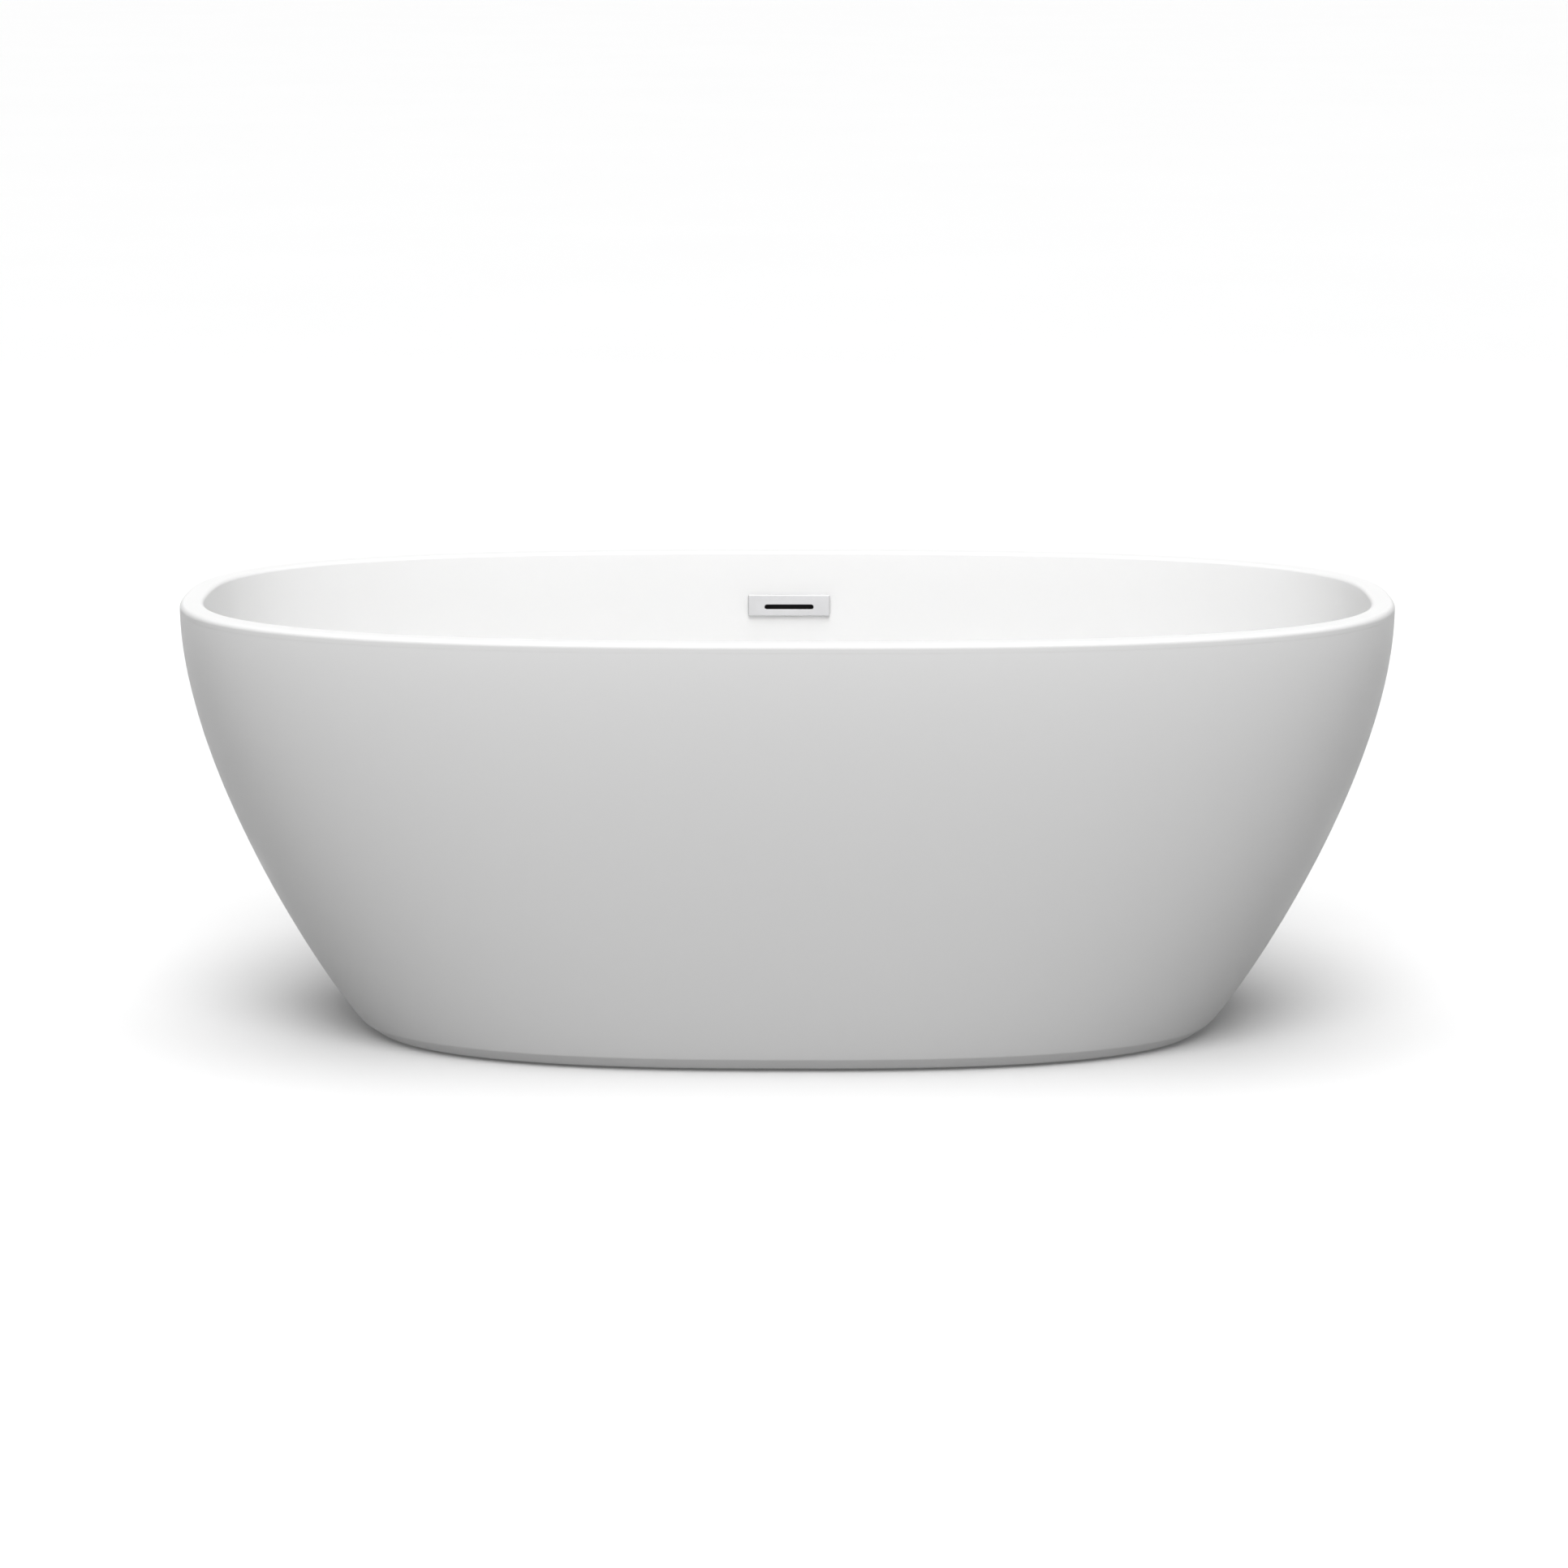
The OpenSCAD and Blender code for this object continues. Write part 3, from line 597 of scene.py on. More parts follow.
def build_basin():
    """The basin with its rim and lip: acrylic on the side that shows, laminate behind.

    The overflow's opening goes through both."""
    steps = 54
    drop = FLOOR_Z + FLOOR_RISE - UNDER_Z
    open_x, open_z = 52, 7.9
    brinks = [inner_t(PLATE_Z + open_z), inner_t(PLATE_Z - open_z)]
    ts = sorted([i / steps for i in range(steps + 1)] + brinks)
    lip = (RIM[0] - BASIN_T, RIM[1] - BASIN_T)
    blend = [(RECESS_R + (FLOOR_HALF[0] - RECESS_R) * s, RECESS_R + (FLOOR_HALF[1] - RECESS_R) * s, s)
             for s in (0.06, 0.15, 0.28, 0.45, 0.62, 0.78, 0.9)]

    # the laminate, from the hole under the waste, up the outside of the wall, to the under side of the rim
    rows = band(1, (25, 25, 2, UNDER_Z), (RECESS_R, RECESS_R, 2, UNDER_Z))
    rows += band(1, *[(a, b, 2 + (N_RIM - 2) * s, UNDER_Z) for a, b, s in blend])
    outside = len(rows)
    rows += band(1, *[inner_row(t, BASIN_T, drop, TUB_H - BASIN_T) for t in reversed(ts)])
    rows += band(1, (lip[0], lip[1], N_RIM, TUB_H - BASIN_T), (lip[0], lip[1], N_RIM, LIP_Z + 0.2))

    # the acrylic, from the lip, over the rim, down the inside, and across the floor to the hole
    rows += band(0, (lip[0] + 0.2, lip[1] + 0.2, N_RIM, LIP_Z), (RIM[0] - 0.25, RIM[1] - 0.25, N_RIM, LIP_Z),
                 (RIM[0] - 0.07, RIM[1] - 0.07, N_RIM, LIP_Z + 0.07), (RIM[0], RIM[1], N_RIM, LIP_Z + 0.25))
    rows += band(0, *edge_rows(RIM[0] - OUT_R, RIM[1] - OUT_R, TUB_H - OUT_R, OUT_R, 0, 90, 9, N_RIM))
    top = RIM_W - OUT_R - IN_R
    rows += band(0, *[(RIM[0] - OUT_R - top * s, RIM[1] - OUT_R - top * s, N_RIM, TUB_H)
                      for s in (0.08, 0.35, 0.65, 0.92)])
    rows += band(0, *edge_rows(RIM[0] - RIM_W + IN_R, RIM[1] - RIM_W + IN_R, TUB_H - IN_R, IN_R,
                               90, 168, 8, N_RIM))
    inside = len(rows)
    rows += band(0, *[inner_row(t) for t in ts])
    rows += band(0, *[(a, b, 2 + (N_RIM - 2) * s, FLOOR_Z + RECESS_H + (FLOOR_RISE - RECESS_H) * s)
                      for a, b, s in reversed(blend)])
    recess = ((RECESS_R, RECESS_H), (RECESS_R - 3, 0.4), (RECESS_R - 8, 0), (RECESS_R - 16, 0),
              (26, 0), (25, -1))
    rows += band(0, *[(r, r, 2, FLOOR_Z + rise) for r, rise in recess])

    # the overflow's opening: the same rows and columns on both faces, so their edges join one to one
    last = len(ts) - 1
    opening = [i for i in range(last) if abs(inner_row((ts[i] + ts[i + 1]) / 2)[3] - PLATE_Z) < open_z]
    wall_l, wall_w, *_ = inner_row(inner_t(PLATE_Z))
    columns = [j for j in range(RING) if ANGLES[j] < math.pi and abs(
        oval_point(wall_l, wall_w, N_RIM, (ANGLES[j] + ANGLES[j + 1]) / 2)[0]) < open_x]
    cut_in = {inside + i for i in opening}
    cut_out = {outside + last - 1 - i for i in opening}

    bm, verts = ring_mesh(rows, lambda i, j: j in columns and (i in cut_in or i in cut_out))
    i_top, i_low = inside + min(opening), inside + max(opening) + 1
    o_top, o_low = outside + last - min(opening), outside + last - max(opening) - 1
    inner_edge = [verts[i_top][j] for j in [*columns, columns[-1] + 1]]
    inner_edge += [verts[i][columns[-1] + 1] for i in range(i_top + 1, i_low + 1)]
    inner_edge += [verts[i_low][j] for j in reversed(columns)]
    inner_edge += [verts[i][columns[0]] for i in range(i_low - 1, i_top, -1)]
    outer_edge = [verts[o_top][j] for j in [*columns, columns[-1] + 1]]
    outer_edge += [verts[i][columns[-1] + 1] for i in range(o_top - 1, o_low - 1, -1)]
    outer_edge += [verts[o_low][j] for j in reversed(columns)]
    outer_edge += [verts[i][columns[0]] for i in range(o_low + 1, o_top)]
    bridge(bm, inner_edge, outer_edge, 1)
    from_bmesh(bm, "basin_shell", "tub", "basin", "acrylic", ACRYLIC, LAMINATE, sharp=30)


def build_skirt():
    """The outer skirt: acrylic outside and round the foot, laminate inside."""
    steps = 64
    a, b = FOOT[0] - FOOT_R, FOOT[1] - FOOT_R
    z = GAP + FOOT_R
    top = GAP + SKIRT_T
    hem = (a - FLANGE_W, b - FLANGE_W)
    rows = band(0, (*hem, N_FOOT, top - 0.4), (*hem, N_FOOT, GAP + 0.4),
                (hem[0] + 0.4, hem[1] + 0.4, N_FOOT, GAP))
    rows += band(0, *edge_rows(a, b, z, FOOT_R, 270, 314, 8, N_FOOT))
    rows += band(0, *[outer_row(0.1 + 0.9 * i / steps, 0) for i in range(steps)])
    half_l, half_w, n, _ = outer_row(1, 0)
    rows += band(0, *[(half_l - inset, half_w - inset, n, LIP_Z - down)
                      for inset, down in ((0, 0.25), (0.07, 0.07), (0.25, 0))])
    rows += band(1, *[outer_row(1 - 0.9 * i / steps, SKIRT_T) for i in range(steps + 1)])
    rows += band(1, *edge_rows(a, b, z, FOOT_R - SKIRT_T, 312, 270, 4, N_FOOT))
    rows += band(1, (hem[0] + 0.4, hem[1] + 0.4, N_FOOT, top))
    bm, _ = ring_mesh(rows)
    from_bmesh(bm, "skirt_shell", "tub", "skirt", "acrylic", ACRYLIC, LAMINATE, sharp=30)


def build_bond():
    """The paste bead under the rim, with a sagging, uneven lower face."""
    top = TUB_H - BASIN_T
    out, inn = SKIRT_T + 1.1, RIM_W - BASIN_T - 1.2
    rows = []
    for s in range(9):
        k = s / 8
        inset = inn + (out - inn) * k
        rows.append((RIM[0] - inset, RIM[1] - inset, N_RIM, top - 6 - 7.5 * k - 1.5 * math.sin(math.pi * k)))
    rows += [(RIM[0] - out, RIM[1] - out, N_RIM, top - 4), (RIM[0] - out, RIM[1] - out, N_RIM, top - 0.05),
             (RIM[0] - inn, RIM[1] - inn, N_RIM, top - 0.05)]
    bm, _ = ring_mesh(band(0, *rows))
    from_bmesh(bm, "rim_bond_bead", "tub", "rim_bond", "bonding_paste", PASTE, sharp=50)


# ---------------------------------------------------------------- waste and stopper


def build_flange():
    """The chrome flange: its rim, its tube down through the floor, and the cross that holds the cartridge."""
    z0, z1 = DRAIN_LOW, DRAIN_TOP
    bm = lathe(bmesh.new(), rounded([(19, z0 + 0.2), (22, z0), (22, z1), (34, z1), (34, z1 + 1), (31, z1 + 3),
                                     (20.2, z1 + 3), (19, z1 + 1.8)], 0.6), 128)
    reach, half_w, half_h = (8.2, 19.4), 1.5, 3
    for angle in (0, 90):
        turn = turned(angle, "Z")
        for side in (-1, 1):
            ends = [turn @ mm(side * x, 0, z0 + half_h) for x in reach]
            rings = tube_mesh(bm, ends, [half_w * MM] * 2, 4, phase=math.pi / 4)
            for ring, x in zip(rings, reach):
                for v, (dy, dz) in zip(ring, ((-1, -1), (1, -1), (1, 1), (-1, 1))):
                    v.co = turn @ mm(side * x, half_w * dy, z0 + half_h + half_h * dz)
    lathe(bm, rounded([(6.05, z0), (9, z0), (9, z0 + 10), (6.05, z0 + 10)], 0.4), 64)
    from_bmesh(bm, "waste_flange", "tub", "drain_flange", "chrome", CHROME)


def build_stopper():
    """The domed cap, and the spring in the cartridge, built in one fixed shape: it is not made to stretch as
    the cap lifts.
    """
    z, steps = DRAIN_TOP + 3, 14
    angles = [math.pi / 2 * k / steps for k in range(steps - 1, -1, -1)]
    crown = [(29.3 * math.cos(g), z + 2.6 + 3.4 * math.sin(g)) for g in angles]
    below = [(29.5, 2.3), (29.4, 1.7), (28.6, 0.9), (27.2, 0.5), (26.4, 0.7), (24.4, 1.45), (3.05, 1.5),
             (3.05, 3), (0, 3)]
    profile = [(0, z + 6), *crown, *((r, z + rise) for r, rise in below)]
    bm = lathe(bmesh.new(), profile, 128)
    from_bmesh(bm, "stopper_cap_dome", "stopper", "stopper_cap", "chrome", CHROME)

    wire, coil_r, low_z, high_z, turns, steps = 0.5, 3.9, 102.6, 111.4, 5, 36
    points = []
    for k in range(turns * steps + 1):
        t = k / (turns * steps)
        rise = t * t * (3 - 2 * t) * 0.35 + t * 0.65
        points.append(round_point(coil_r, 2 * math.pi * turns * t, low_z + (high_z - low_z) * rise))
    bm = bmesh.new()
    tube_mesh(bm, points, [wire * MM] * len(points), 12)
    spring = from_bmesh(bm, "stopper_spring_coil", None, "stopper_spring", "stainless", STAINLESS)
    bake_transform(spring)


def build_tee():
    """The moulded tee under the floor: a body with a top flange, ribs and a side inlet."""
    bore, cup_r = 19.25, 22.05
    cup = [(cup_r, 79), (28, 88), (28, 126), (31, 128), (40, 128), (40, 132), (cup_r, 132)]
    body = [(bore, 46), (25, 46), (25, 56), (28, 58), (28, 90), (cup_r, 92), (cup_r, 79), (bore, 78)]
    bm = lathe(bmesh.new(), rounded(cup, 0.8))
    lathe(bm, rounded(body, 0.8))
    inlet = [(10.5, 18), (13, 18), (13, 23), (16, 25), (16, 38), (13, 39.5), (13, 60), (13.3, 62), (13, 64),
             (13, 70), (13.3, 72), (13, 74), (12.6, 76), (10.5, 76)]
    lathe(bm, rounded(inlet, 0.5), 72, moved(0, 0, INLET_Z) @ turned(-90, "X"))
    for k in range(8):
        g = math.pi / 4 * k + math.pi / 8
        rib = [round_point(r, g, z) for r, z in ((27.5, 128), (38.5, 128), (27.5, 108))]
        across = mm(-math.sin(g), math.cos(g), 0) * 1.1
        prism(bm, *([bm.verts.new(p + across * side) for p in rib] for side in (1, -1)))
    from_bmesh(bm, "waste_tee_body", "tub", "drain_tee", "black_plastic", BLACK)


def build_tailpiece():
    """The outlet pipe, and its slip nut: a ring of sixteen shallow flutes with a plain shoulder below."""
    pipe = [(17.3, 10), (19.05, 10), (19.05, 36.8), (18.7, 37.2), (18.7, 58), (17.3, 58)]
    bm = lathe(bmesh.new(), rounded(pipe, 0.3))
    from_bmesh(bm, "waste_tailpiece", "tub", "tailpiece", "chrome", CHROME)

    bm, steps, rings = bmesh.new(), 192, []
    outline = [(19.3, 38), (26, 38), (28.6, 39.2), (30.2, 40.6), (30.6, 42), (30.6, 53.6), (30, 54.8),
               (25.3, 55), (25.15, 41.2), (19.3, 41.2)]
    for r, z in outline:
        ring = []
        for k in range(steps):
            g = 2 * math.pi * k / steps
            flute = 1.1 * abs(math.sin(8 * g)) ** 0.6 if r > 29.9 else 0
            ring.append(bm.verts.new(round_point(r + flute, g, z)))
        rings.append(ring)
    for a, b in zip(rings, rings[1:] + rings[:1]):
        bridge(bm, a, b)
    from_bmesh(bm, "waste_slip_nut", "tub", "tailpiece_nut", "chrome", CHROME, sharp=50)


# ---------------------------------------------------------------- overflow


def build_overflow_plate():
    """The cover: a thin chrome tray with rounded edges, a slot with a rounded edge, and two posts behind."""
    face, back, inside, edge, wall, steps = -6, -1.0, -4.4, 0.9, 1.2, 5
    bm = bmesh.new()
    outline = rounded_rectangle(PLATE_L, PLATE_H, 1.8, 5)
    angles = [math.pi / 2 * s / steps for s in range(steps + 1)]
    levels = [(-edge * (1 - math.sin(g)), face + edge * (1 - math.cos(g))) for g in angles]
    levels += [(0, back), (-wall, back), (-wall, inside)]
    tray = [outline_ring(bm, outline, grow, y, AT_OVERFLOW) for grow, y in levels]
    for a, b in zip(tray, tray[1:]):
        bridge(bm, a, b)

    # the slot: round ends, its edge rounded by 0.35 mm; its walls take the black plastic as painted shade,
    # standing in for the shade inside the slot
    slot = rounded_rectangle(SLOT_L, SLOT_H, SLOT_H / 2 - 0.01, 8)
    loops = [outline_ring(bm, slot, grow, y, AT_OVERFLOW, -SLOT_DROP)
             for grow, y in ((0.35, face), (0.1, face + 0.1), (0, face + 0.35), (0, inside))]
    for a, b, tag in zip(loops, loops[1:], (0, 0, 1)):
        bridge(bm, a, b, tag)
    for outer, inner in ((tray[0], loops[0]), (tray[-1], loops[-1])):
        edges = [bm.edges.get((ring[k], ring[(k + 1) % len(ring)]))
                 for ring in (outer, inner) for k in range(len(ring))]
        bmesh.ops.triangle_fill(bm, use_beauty=True, use_dissolve=False, edges=edges)
    post = [(0, inside), (3.6, inside), (3.6, -3.2), (2.5, -2.6), (2.5, 18.4), (2.0, 19), (0, 19)]
    for side in (-1, 1):
        lathe(bm, rounded(post, 0.3), 32, AT_OVERFLOW @ moved(side * POST_X, 0, 0) @ turned(-90, "X"))
    from_bmesh(bm, "overflow_cover", "tub", "overflow_plate", "chrome", CHROME, BLACK, sharp=28)


def hose_route():
    """A smooth curve through the CAD's points, from the housing's outlet down the wall to the tee's inlet."""
    ends = [AT_OVERFLOW @ mm(0, HOSE_BACK, z) for z in (-108, -120, -132)]
    ends += [mm(0, y, z) for y, z in (
        (349, 355), (338, 310), (323, 262), (304, 212), (280, 163), (248, 115), (210, 83), (166, 71),
        (124, 71), (94, INLET_Z), (78, INLET_Z), (62, INLET_Z), (46, INLET_Z))]
    points = []
    for i in range(len(ends) - 1):
        a, b, c, d = ends[max(i - 1, 0)], ends[i], ends[i + 1], ends[min(i + 2, len(ends) - 1)]
        for s in range(12):
            t = s / 12
            bend = (2 * a - 5 * b + 4 * c - d) * t * t + (3 * b - a - 3 * c + d) * t ** 3
            points.append(0.5 * (2 * b + (c - a) * t + bend))
    return points + [ends[-1]]


def build_hose():
    """The corrugated hose, with plain cuffs where it is clamped."""
    coarse, run = hose_route(), [0.0]
    for p, q in zip(coarse, coarse[1:]):
        run.append(run[-1] + (q - p).length)
    pitch, cuff, cuff_r = 4.2 * MM, 34 * MM, 14.9
    count = int(run[-1] / (pitch / 8))
    points, radii, k = [], [], 0
    for i in range(count + 1):
        s = run[-1] * i / count
        while k < len(run) - 2 and run[k + 1] < s:
            k += 1
        points.append(coarse[k].lerp(coarse[k + 1], (s - run[k]) / (run[k + 1] - run[k])))
        wave = 0.5 + 0.5 * math.cos(2 * math.pi * s / pitch)
        inner = min(s, run[-1] - s)
        ribbed = min(1, max(0, (inner - cuff) / (4 * MM)))
        radii.append((cuff_r + ribbed * (0.75 * wave ** 0.7 - 0.35)) * MM)
    bm = bmesh.new()
    outer = tube_mesh(bm, points, radii, 40, closed=False)
    skin = tube_mesh(bm, points, [r - 0.9 * MM for r in radii], 40, closed=False)
    bridge(bm, outer[0], skin[0])
    bridge(bm, outer[-1], skin[-1])
    from_bmesh(bm, "overflow_hose_ribbed", "tub", "overflow_hose", "hose_plastic", HOSE_GREY, sharp=60)


def build_clamp(name, node, place):
    """A worm-drive band: slotted strap, rolled edges, housing and screw with a hexagon head."""
    bm, r = bmesh.new(), 15.75
    strap = [(r, -4.5), (r + 0.5, -4.9), (r + 0.75, -4.4), (r + 0.7, 4.4), (r + 0.5, 4.9), (r, 4.5)]
    lathe(bm, rounded(strap, 0.25), place=place)
    for k in range(34):
        turn = place @ turned(128 + k * 8.4, "Z") @ moved(r + 0.82, 0, 0) @ Matrix.Rotation(0.35, 4, "X")
        block(bm, (0.35, 0.9, 5.2), turn)
    house = place @ moved(0, r + 3.6, 0)
    box = block(bm, (13.5, 6.4, 10.6), house)
    box_edges = list(dict.fromkeys(e for v in box["verts"] for e in v.link_edges))
    bmesh.ops.bevel(bm, geom=box_edges, offset=1.6 * MM, segments=4, profile=0.5, affect="EDGES")
    screw = house @ moved(0, 1.4, 0) @ turned(90, "Y")
    worm = [(0, -12.6), (2.0, -12.6), (2.0, -6), (2.6, -5.6), (2.6, 7.4), (3.4, 7.6), (3.4, 8.8), (0, 8.8)]
    lathe(bm, rounded(worm, 0.2), 40, screw)
    lathe(bm, rounded([(0, 8.6), (3.0, 8.6), (3.3, 9.2), (3.3, 9.4), (0, 9.4)], 0.1), 6, screw)
    from_bmesh(bm, name, "tub", node, "stainless", STAINLESS, sharp=38)


# ---------------------------------------------------------------- feet and fasteners


def hex_block(bm, across, z0, z1, place):
    """A hexagon with its corners turned off, as on a nut or bolt head."""
    steps = 72
    corner = across / math.sqrt(3)
    cut = corner - across / 2
    turned_off = [(across / 2 + cut * inset + 0.02, z * cut * 0.9)
                  for inset, z in ((0.0, 0.0), (0.35, 0.18), (0.75, 0.55), (1, 1))]
    levels = [(limit, z0 + z) for limit, z in turned_off]
    levels += [(limit, z1 - z) for limit, z in reversed(turned_off)]
    rings = []
    for limit, z in levels:
        ring = []
        for k in range(steps):
            g = 2 * math.pi * k / steps
            flat = (across / 2) / math.cos((g % (math.pi / 3)) - math.pi / 6)
            ring.append(bm.verts.new(place @ round_point(min(flat, limit), g, z)))
        rings.append(ring)
    for a, b in zip(rings, rings[1:]):
        bridge(bm, a, b)
    close_ends(bm, rings)


def thread(bm, radius, root, pitch, z0, z1, centre, steps=36, chamfer=1.2):
    """A right-hand thread of real helical form, closed at both ends, its upper end chamfered."""
    per_turn = 6
    rows = int((z1 - z0) / (pitch / per_turn))
    rings = []
    for i in range(rows + 1):
        z = z0 + (z1 - z0) * i / rows
        ring = []
        for k in range(steps):
            g = 2 * math.pi * k / steps
            phase = ((z - z0) / pitch - k / steps) % 1.0
            depth = min(1.0, max(0.0, abs(2 * phase - 1) * 1.35 - 0.15))
            r = root + (radius - root) * depth
            if z1 - z < chamfer:
                r = min(r, root - 0.2 + (radius - root + 0.2) * (z1 - z) / chamfer)
            ring.append(bm.verts.new(mm(centre[0] + r * math.cos(g), centre[1] + r * math.sin(g), z)))
        rings.append(ring)
    for a, b in zip(rings, rings[1:]):
        bridge(bm, a, b)
    close_ends(bm, rings)


def build_stud(name, x, y):
    """The threaded stud, its plain end in the pad, and the hexagon that a spanner turns."""
    bm = bmesh.new()
    thread(bm, STUD_R, STUD_ROOT, STUD_PITCH, 26, TUBE_Z + 18, (x, y))
    lathe(bm, rounded([(0, 5), (4.5, 5), (4.5, 18.4), (0, 18.4)], 0.4), 48, moved(x, y, 0))
    hex_block(bm, 17, 18, 26, moved(x, y, 0))
    from_bmesh(bm, "foot_stud_thread_" + name, "stud_" + name, "foot_stud_" + name, "zinc_steel", ZINC,
               sharp=32)


def build_pad(name, x, y):
    """The pad: a flat disc with a soft edge, a raised collar and radial ribs."""
    at = moved(x, y, 0)
    disc = [(0, 0), (20.6, 0), (22, 1.2), (22, 5.6), (19.4, 8.6), (12.2, 9), (10.6, 10.2), (10, 16),
            (4.55, 16), (4.55, 5), (0, 5)]
    bm = lathe(bmesh.new(), rounded(disc, 0.7), place=at)
    rib = [(9.8, 8), (20.2, 7.2), (19.6, 8.9), (10, 13.5)]
    for k in range(8):
        turn = at @ turned(45 * k, "Z")
        prism(bm, *([bm.verts.new(turn @ mm(r, w, z)) for r, z in rib] for w in (-0.8, 0.8)))
    from_bmesh(bm, "foot_pad_ribbed_" + name, "pad_" + name, "foot_pad_" + name, "foot_plastic", FOOT_BLACK)


def build_board_screws():
    """Hex-washer screws up through the rails into the board."""
    bm = bmesh.new()
    washer = [(0, TUBE_Z - 1.2), (5.6, TUBE_Z - 1.0), (5.6, TUBE_Z), (0, TUBE_Z)]
    for x in BOARD_SCREW_X:
        for y in (-RAIL_Y, RAIL_Y):
            at = moved(x, y, 0)
            hex_block(bm, 8, TUBE_Z - 3.9, TUBE_Z - 0.9, at)
            lathe(bm, rounded(washer, 0.25), 40, at)
            thread(bm, 2.4, 1.8, 1.6, TUBE_Z - 0.5, TUBE_Z + 39, (x, y), steps=16, chamfer=3)
    from_bmesh(bm, "board_screws_hex", "tub", "board_screws", "zinc_steel", ZINC, sharp=32)


def build_bracket_screws():
    """Countersunk screws up through the skirt's flange, one at each bracket."""
    reach_x, reach_y = FOOT[0] - FOOT_R - 14, FOOT[1] - FOOT_R - 20
    spots = [(side * reach_x, 0) for side in (-1, 1)]
    spots += [(x, side * reach_y) for x in (-BRACKET_X, BRACKET_X) for side in (-1, 1)]
    head = [(0, -0.15), (1.6, -0.55), (3.2, -0.45), (4.1, -0.05), (4.1, 0.1), (2, 2.2), (2, 4), (0, 4)]
    bm = bmesh.new()
    for x, y in spots:
        lathe(bm, rounded([(r, GAP + z) for r, z in head], 0.2), 40, moved(x, y, 0))
        thread(bm, 2.0, 1.6, 0.7, GAP + 3.5, GAP + 15, (x, y), steps=16, chamfer=0.8)
    from_bmesh(bm, "bracket_screws_countersunk", "tub", "bracket_screws", "zinc_steel", ZINC, sharp=32)


def build_tube(node, x, y, length, along):
    """A square tube with the rounded corners of drawn steel, open at both ends."""
    bm, place = bmesh.new(), moved(x, y, TUBE_Z + TUBE / 2)
    inside = TUBE - 2 * TUBE_WALL
    outer, inner = rounded_rectangle(TUBE, TUBE, 3, 5), rounded_rectangle(inside, inside, 1.6, 5)
    loops = []
    for outline, end in ((outer, -1), (outer, 1), (inner, 1), (inner, -1)):
        reach = end * length / 2
        corners = [(reach, u, w) if along == "x" else (u, reach, w) for (u, w), _ in outline]
        loops.append([bm.verts.new(place @ mm(*corner)) for corner in corners])
    for a, b in zip(loops, loops[1:] + loops[:1]):
        bridge(bm, a, b)
    from_bmesh(bm, node + "_tube", "tub", node, "frame_steel", PAINT, sharp=40)


def build_frame():
    """Two long rails, with two end tubes and two cross tubes between them."""
    build_tube("frame_rail_front", 0, -RAIL_Y, RAIL_L, "x")
    build_tube("frame_rail_back", 0, RAIL_Y, RAIL_L, "x")
    for part, x in (("end", END_X), ("cross", CROSS_X)):
        build_tube(f"frame_{part}_left", -x, 0, 2 * RAIL_Y - TUBE, "y")
        build_tube(f"frame_{part}_right", x, 0, 2 * RAIL_Y - TUBE, "y")


def build_welds():
    """Rippled weld beads up both sides of each joint in the frame, and one under it."""
    joint_y, length, steps = RAIL_Y - TUBE / 2 - 0.8, 26, 60
    runs = [length * k / steps for k in range(steps + 1)]
    upright = [(2.0 + 0.45 * math.sin(k * 1.15)) * MM for k in range(steps + 1)]
    flat = [(1.8 + 0.4 * math.sin(k * 1.15 + 1)) * MM for k in range(steps + 1)]
    bm = bmesh.new()
    for x in (-END_X, -CROSS_X, CROSS_X, END_X):
        for y in (-joint_y, joint_y):
            for side in (-1, 1):
                edge = x + side * (TUBE / 2 + 0.4)
                tube_mesh(bm, [mm(edge, y, TUBE_Z + 2 + run) for run in runs], upright, 10)
            tube_mesh(bm, [mm(x - length / 2 + run, y, TUBE_Z - 0.2) for run in runs], flat, 10)
    from_bmesh(bm, "frame_weld_beads", "tub", None, "frame_steel", PAINT, sharp=60)


# ---------------------------------------------------------------- build everything

build_basin()
build_skirt()
build_bond()
build_flange()
build_stopper()
build_tee()
build_tailpiece()
build_overflow_plate()
build_hose()
build_clamp("hose_clamp_top_band", "hose_clamp_top",
            AT_OVERFLOW @ moved(0, HOSE_BACK, -120) @ turned(90, "Z"))
build_clamp("hose_clamp_bottom_band", "hose_clamp_bottom", moved(0, 64, INLET_Z) @ turned(-90, "X"))
for foot in FEET:
    build_stud(*foot)
    build_pad(*foot)
build_board_screws()
build_bracket_screws()
build_frame()
build_welds()
softened("base_board", PLYWOOD, "board", 0.8)
softened("rail_caps", BLACK, "black_plastic", 1.0, 3)
softened("frame_nuts", ZINC, "zinc_steel", 0.5)
softened("jam_nuts", ZINC, "zinc_steel", 0.5)
softened("bracket_bolts", ZINC, "zinc_steel", 0.4)
softened("bracket_nuts", ZINC, "zinc_steel", 0.3)
for side in ("left", "right", "front_left", "front_right", "back_left", "back_right"):
    softened("bracket_" + side, ZINC, "zinc_steel", 0.6)
for seal in ("drain_top_seal", "drain_lower_seal", "stopper_seal"):
    softened(seal, SEAL, "rubber_seal", 0.35, 3)
for gasket in ("overflow_plate_gasket", "overflow_wall_gasket"):
    softened(gasket, FOAM, "rubber_seal", 0.15)
softened("tailpiece_washer", WHITE_NYLON, "white_washer", 0.4)
softened("stopper_stem", STAINLESS, "stainless", 0.3)
softened("stopper_cartridge", BRASS, "brass", 0.3)
softened("overflow_housing", BLACK, "black_plastic", 0.5)
softened("overflow_nuts", BRASS, "brass", 0.3)

# ---------------------------------------------------------------- studio


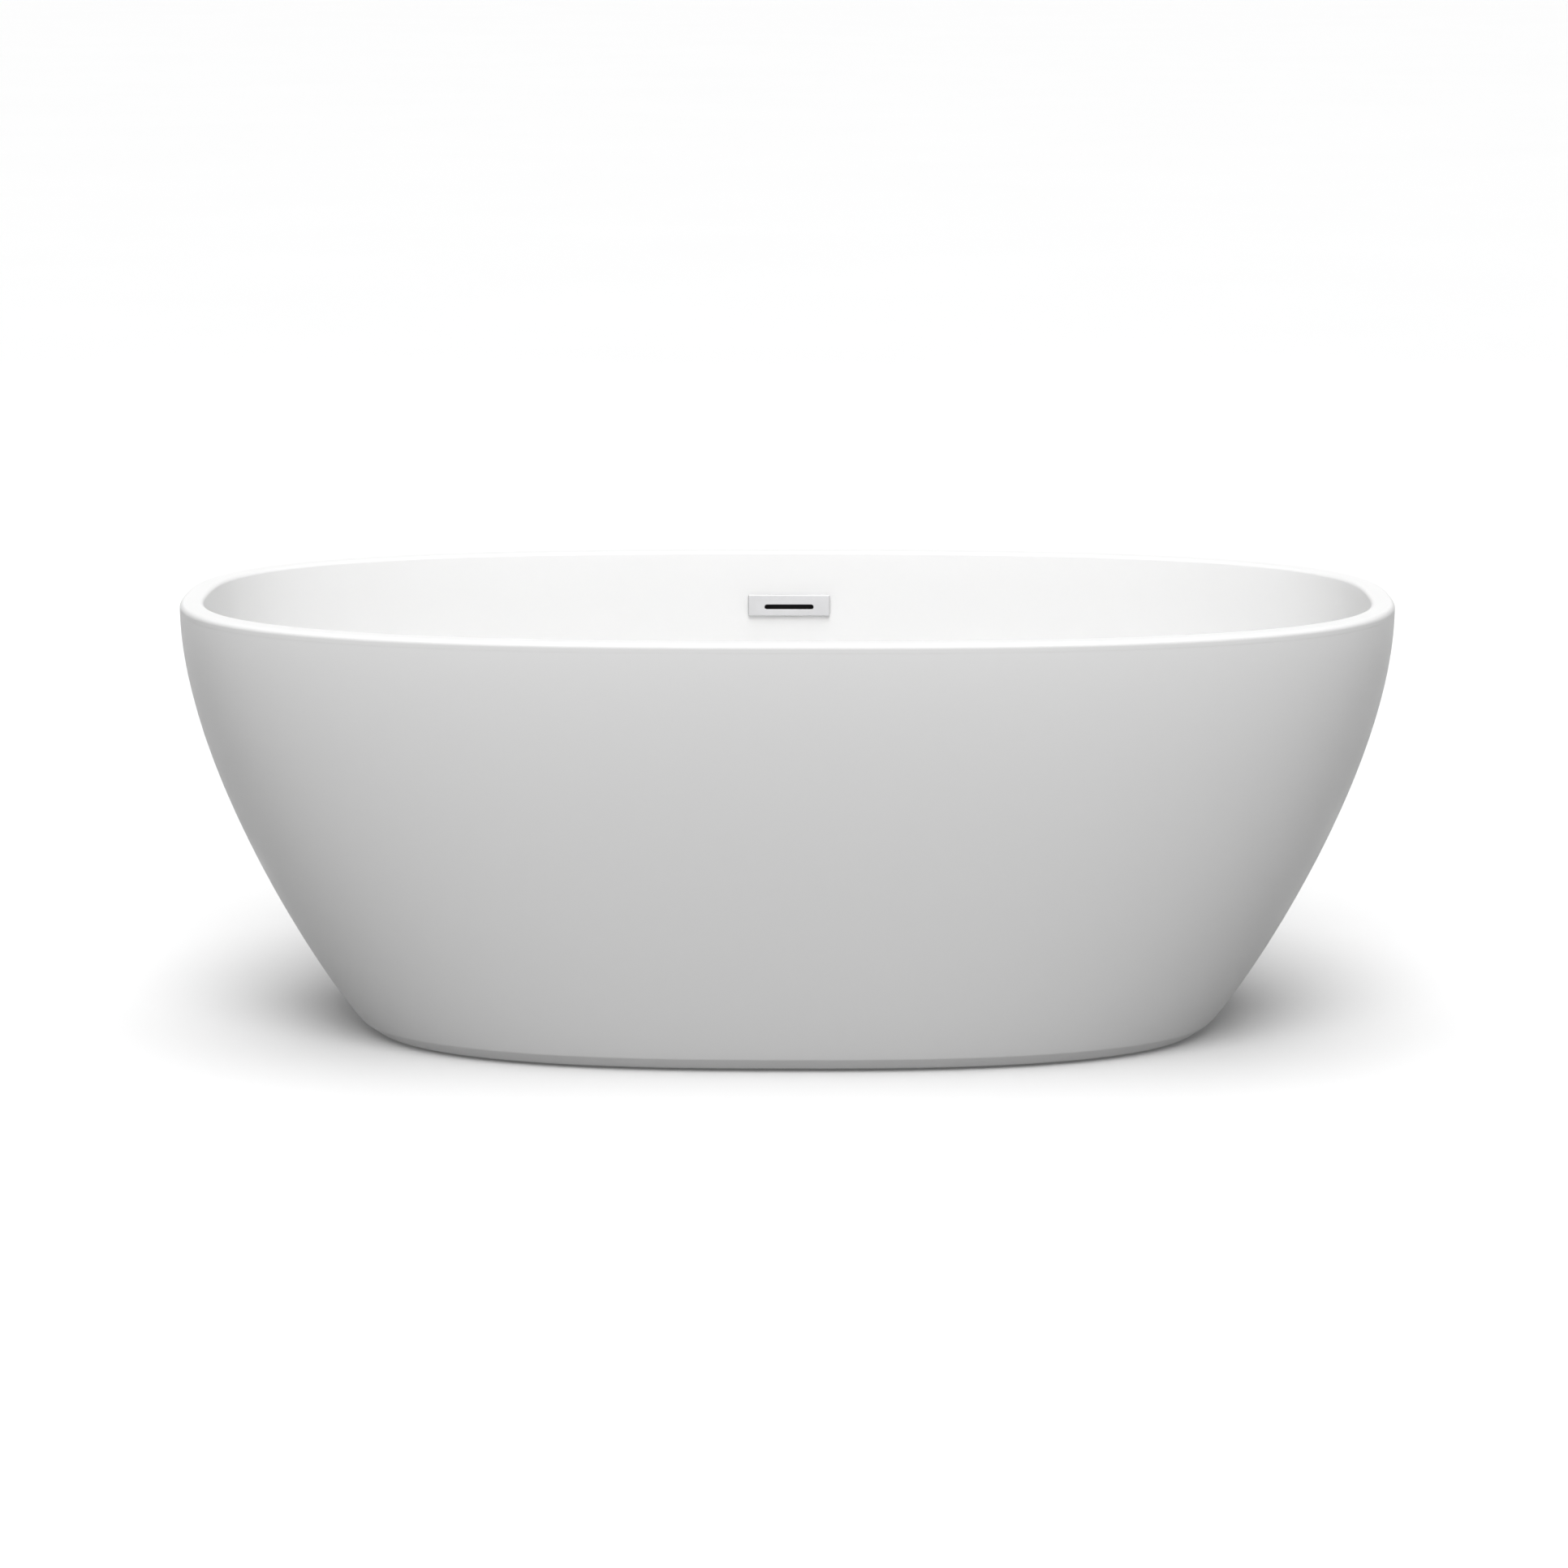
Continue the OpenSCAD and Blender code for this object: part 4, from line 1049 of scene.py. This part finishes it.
def studio():
    """A pale floor out to the horizon, soft light from overhead, the front and the back, and a dim sky."""
    bm = bmesh.new()
    bmesh.ops.create_grid(bm, x_segments=1, y_segments=1, size=80)
    mesh = bpy.data.meshes.new("studio_floor")
    bm.to_mesh(mesh)
    bm.free()
    floor = bpy.data.objects.new("studio_floor", mesh)
    floor.visible_diffuse = False  # the lower half of the world stands in for its bounce
    bpy.context.scene.collection.objects.link(floor)
    s = Surface("pale_floor", Roughness=0.95, Specular_IOR_Level=0.2)
    s.colour(s.ramp(s.noise(0.7, 3), [(0.3, (0.945, 0.945, 0.945)), (0.7, (0.955, 0.955, 0.955))]))
    mesh.materials.append(s.mat)

    world = bpy.data.worlds.new("studio")
    world.use_nodes = True
    tree = world.node_tree
    coord = tree.nodes.new("ShaderNodeTexCoord")
    apart = tree.nodes.new("ShaderNodeSeparateXYZ")
    shift = tree.nodes.new("ShaderNodeMapRange")
    shift.inputs["From Min"].default_value = -1
    ramp = tree.nodes.new("ShaderNodeValToRGB")
    tree.links.new(coord.outputs["Generated"], apart.inputs[0])
    tree.links.new(apart.outputs["Z"], shift.inputs["Value"])
    tree.links.new(shift.outputs["Result"], ramp.inputs["Fac"])
    tree.links.new(ramp.outputs["Color"], tree.nodes["Background"].inputs["Color"])
    stops = [(0.0, 0.08), (0.49, 0.29), (0.5, 1.0), (0.52, 1.0), (0.57, 0.06)]
    while len(ramp.color_ramp.elements) < len(stops):
        ramp.color_ramp.elements.new(0.5)
    for element, (position, level) in zip(ramp.color_ramp.elements, stops):
        element.position, element.color = position, (level, level, level, 1)
    tree.nodes["Background"].inputs["Strength"].default_value = 1.0
    bpy.context.scene.world = world

    suns = (("overhead", 0, 1.86, 50), ("front_key", 40, 1.7, 40))
    for name, tilt, energy, spread in suns:
        data = bpy.data.lights.new(name, "SUN")
        data.energy, data.angle = energy, math.radians(spread)
        sun = bpy.data.objects.new(name, data)
        sun.rotation_euler = (math.radians(tilt), 0, 0)
        bpy.context.scene.collection.objects.link(sun)

    cards = (("front_softbox", -1, 2.4, 10.0, 4.6, 132), ("back_softbox", 1, 2.7, 7.0, 2.2, 60))
    away, tilt = 7.5, math.radians(78)
    for name, side, high, width, height, energy in cards:
        data = bpy.data.lights.new(name, "AREA")
        data.shape, data.size, data.size_y, data.energy = "RECTANGLE", width, height, energy
        card = bpy.data.objects.new(name, data)
        card.location = (0, side * away, high)
        card.rotation_euler = (-side * tilt, 0, 0)
        bpy.context.scene.collection.objects.link(card)

    scene = bpy.context.scene
    scene.view_settings.view_transform = "Standard"
    scene.view_settings.look = "None"


def camera():
    """At the photograph's angle: all but square on, a little above the rim, six metres away."""
    azimuth, elevation, distance = math.radians(0.45), math.radians(12.268), 6.0
    data = bpy.data.cameras.new("camera")
    data.lens, data.sensor_width = 99.6, 36
    data.shift_x, data.shift_y = -0.0020, 0.0149
    data.clip_start, data.clip_end = 0.1, 60
    obj = bpy.data.objects.new("camera", data)
    middle = mm(0, 0, TUB_H / 2)
    level = math.cos(elevation)
    away = Vector((level * math.sin(azimuth), -level * math.cos(azimuth), math.sin(elevation)))
    obj.location = middle + away * distance
    obj.rotation_euler = (math.pi / 2 - elevation, 0, azimuth)
    bpy.context.scene.collection.objects.link(obj)
    bpy.context.scene.camera = obj


studio()
camera()
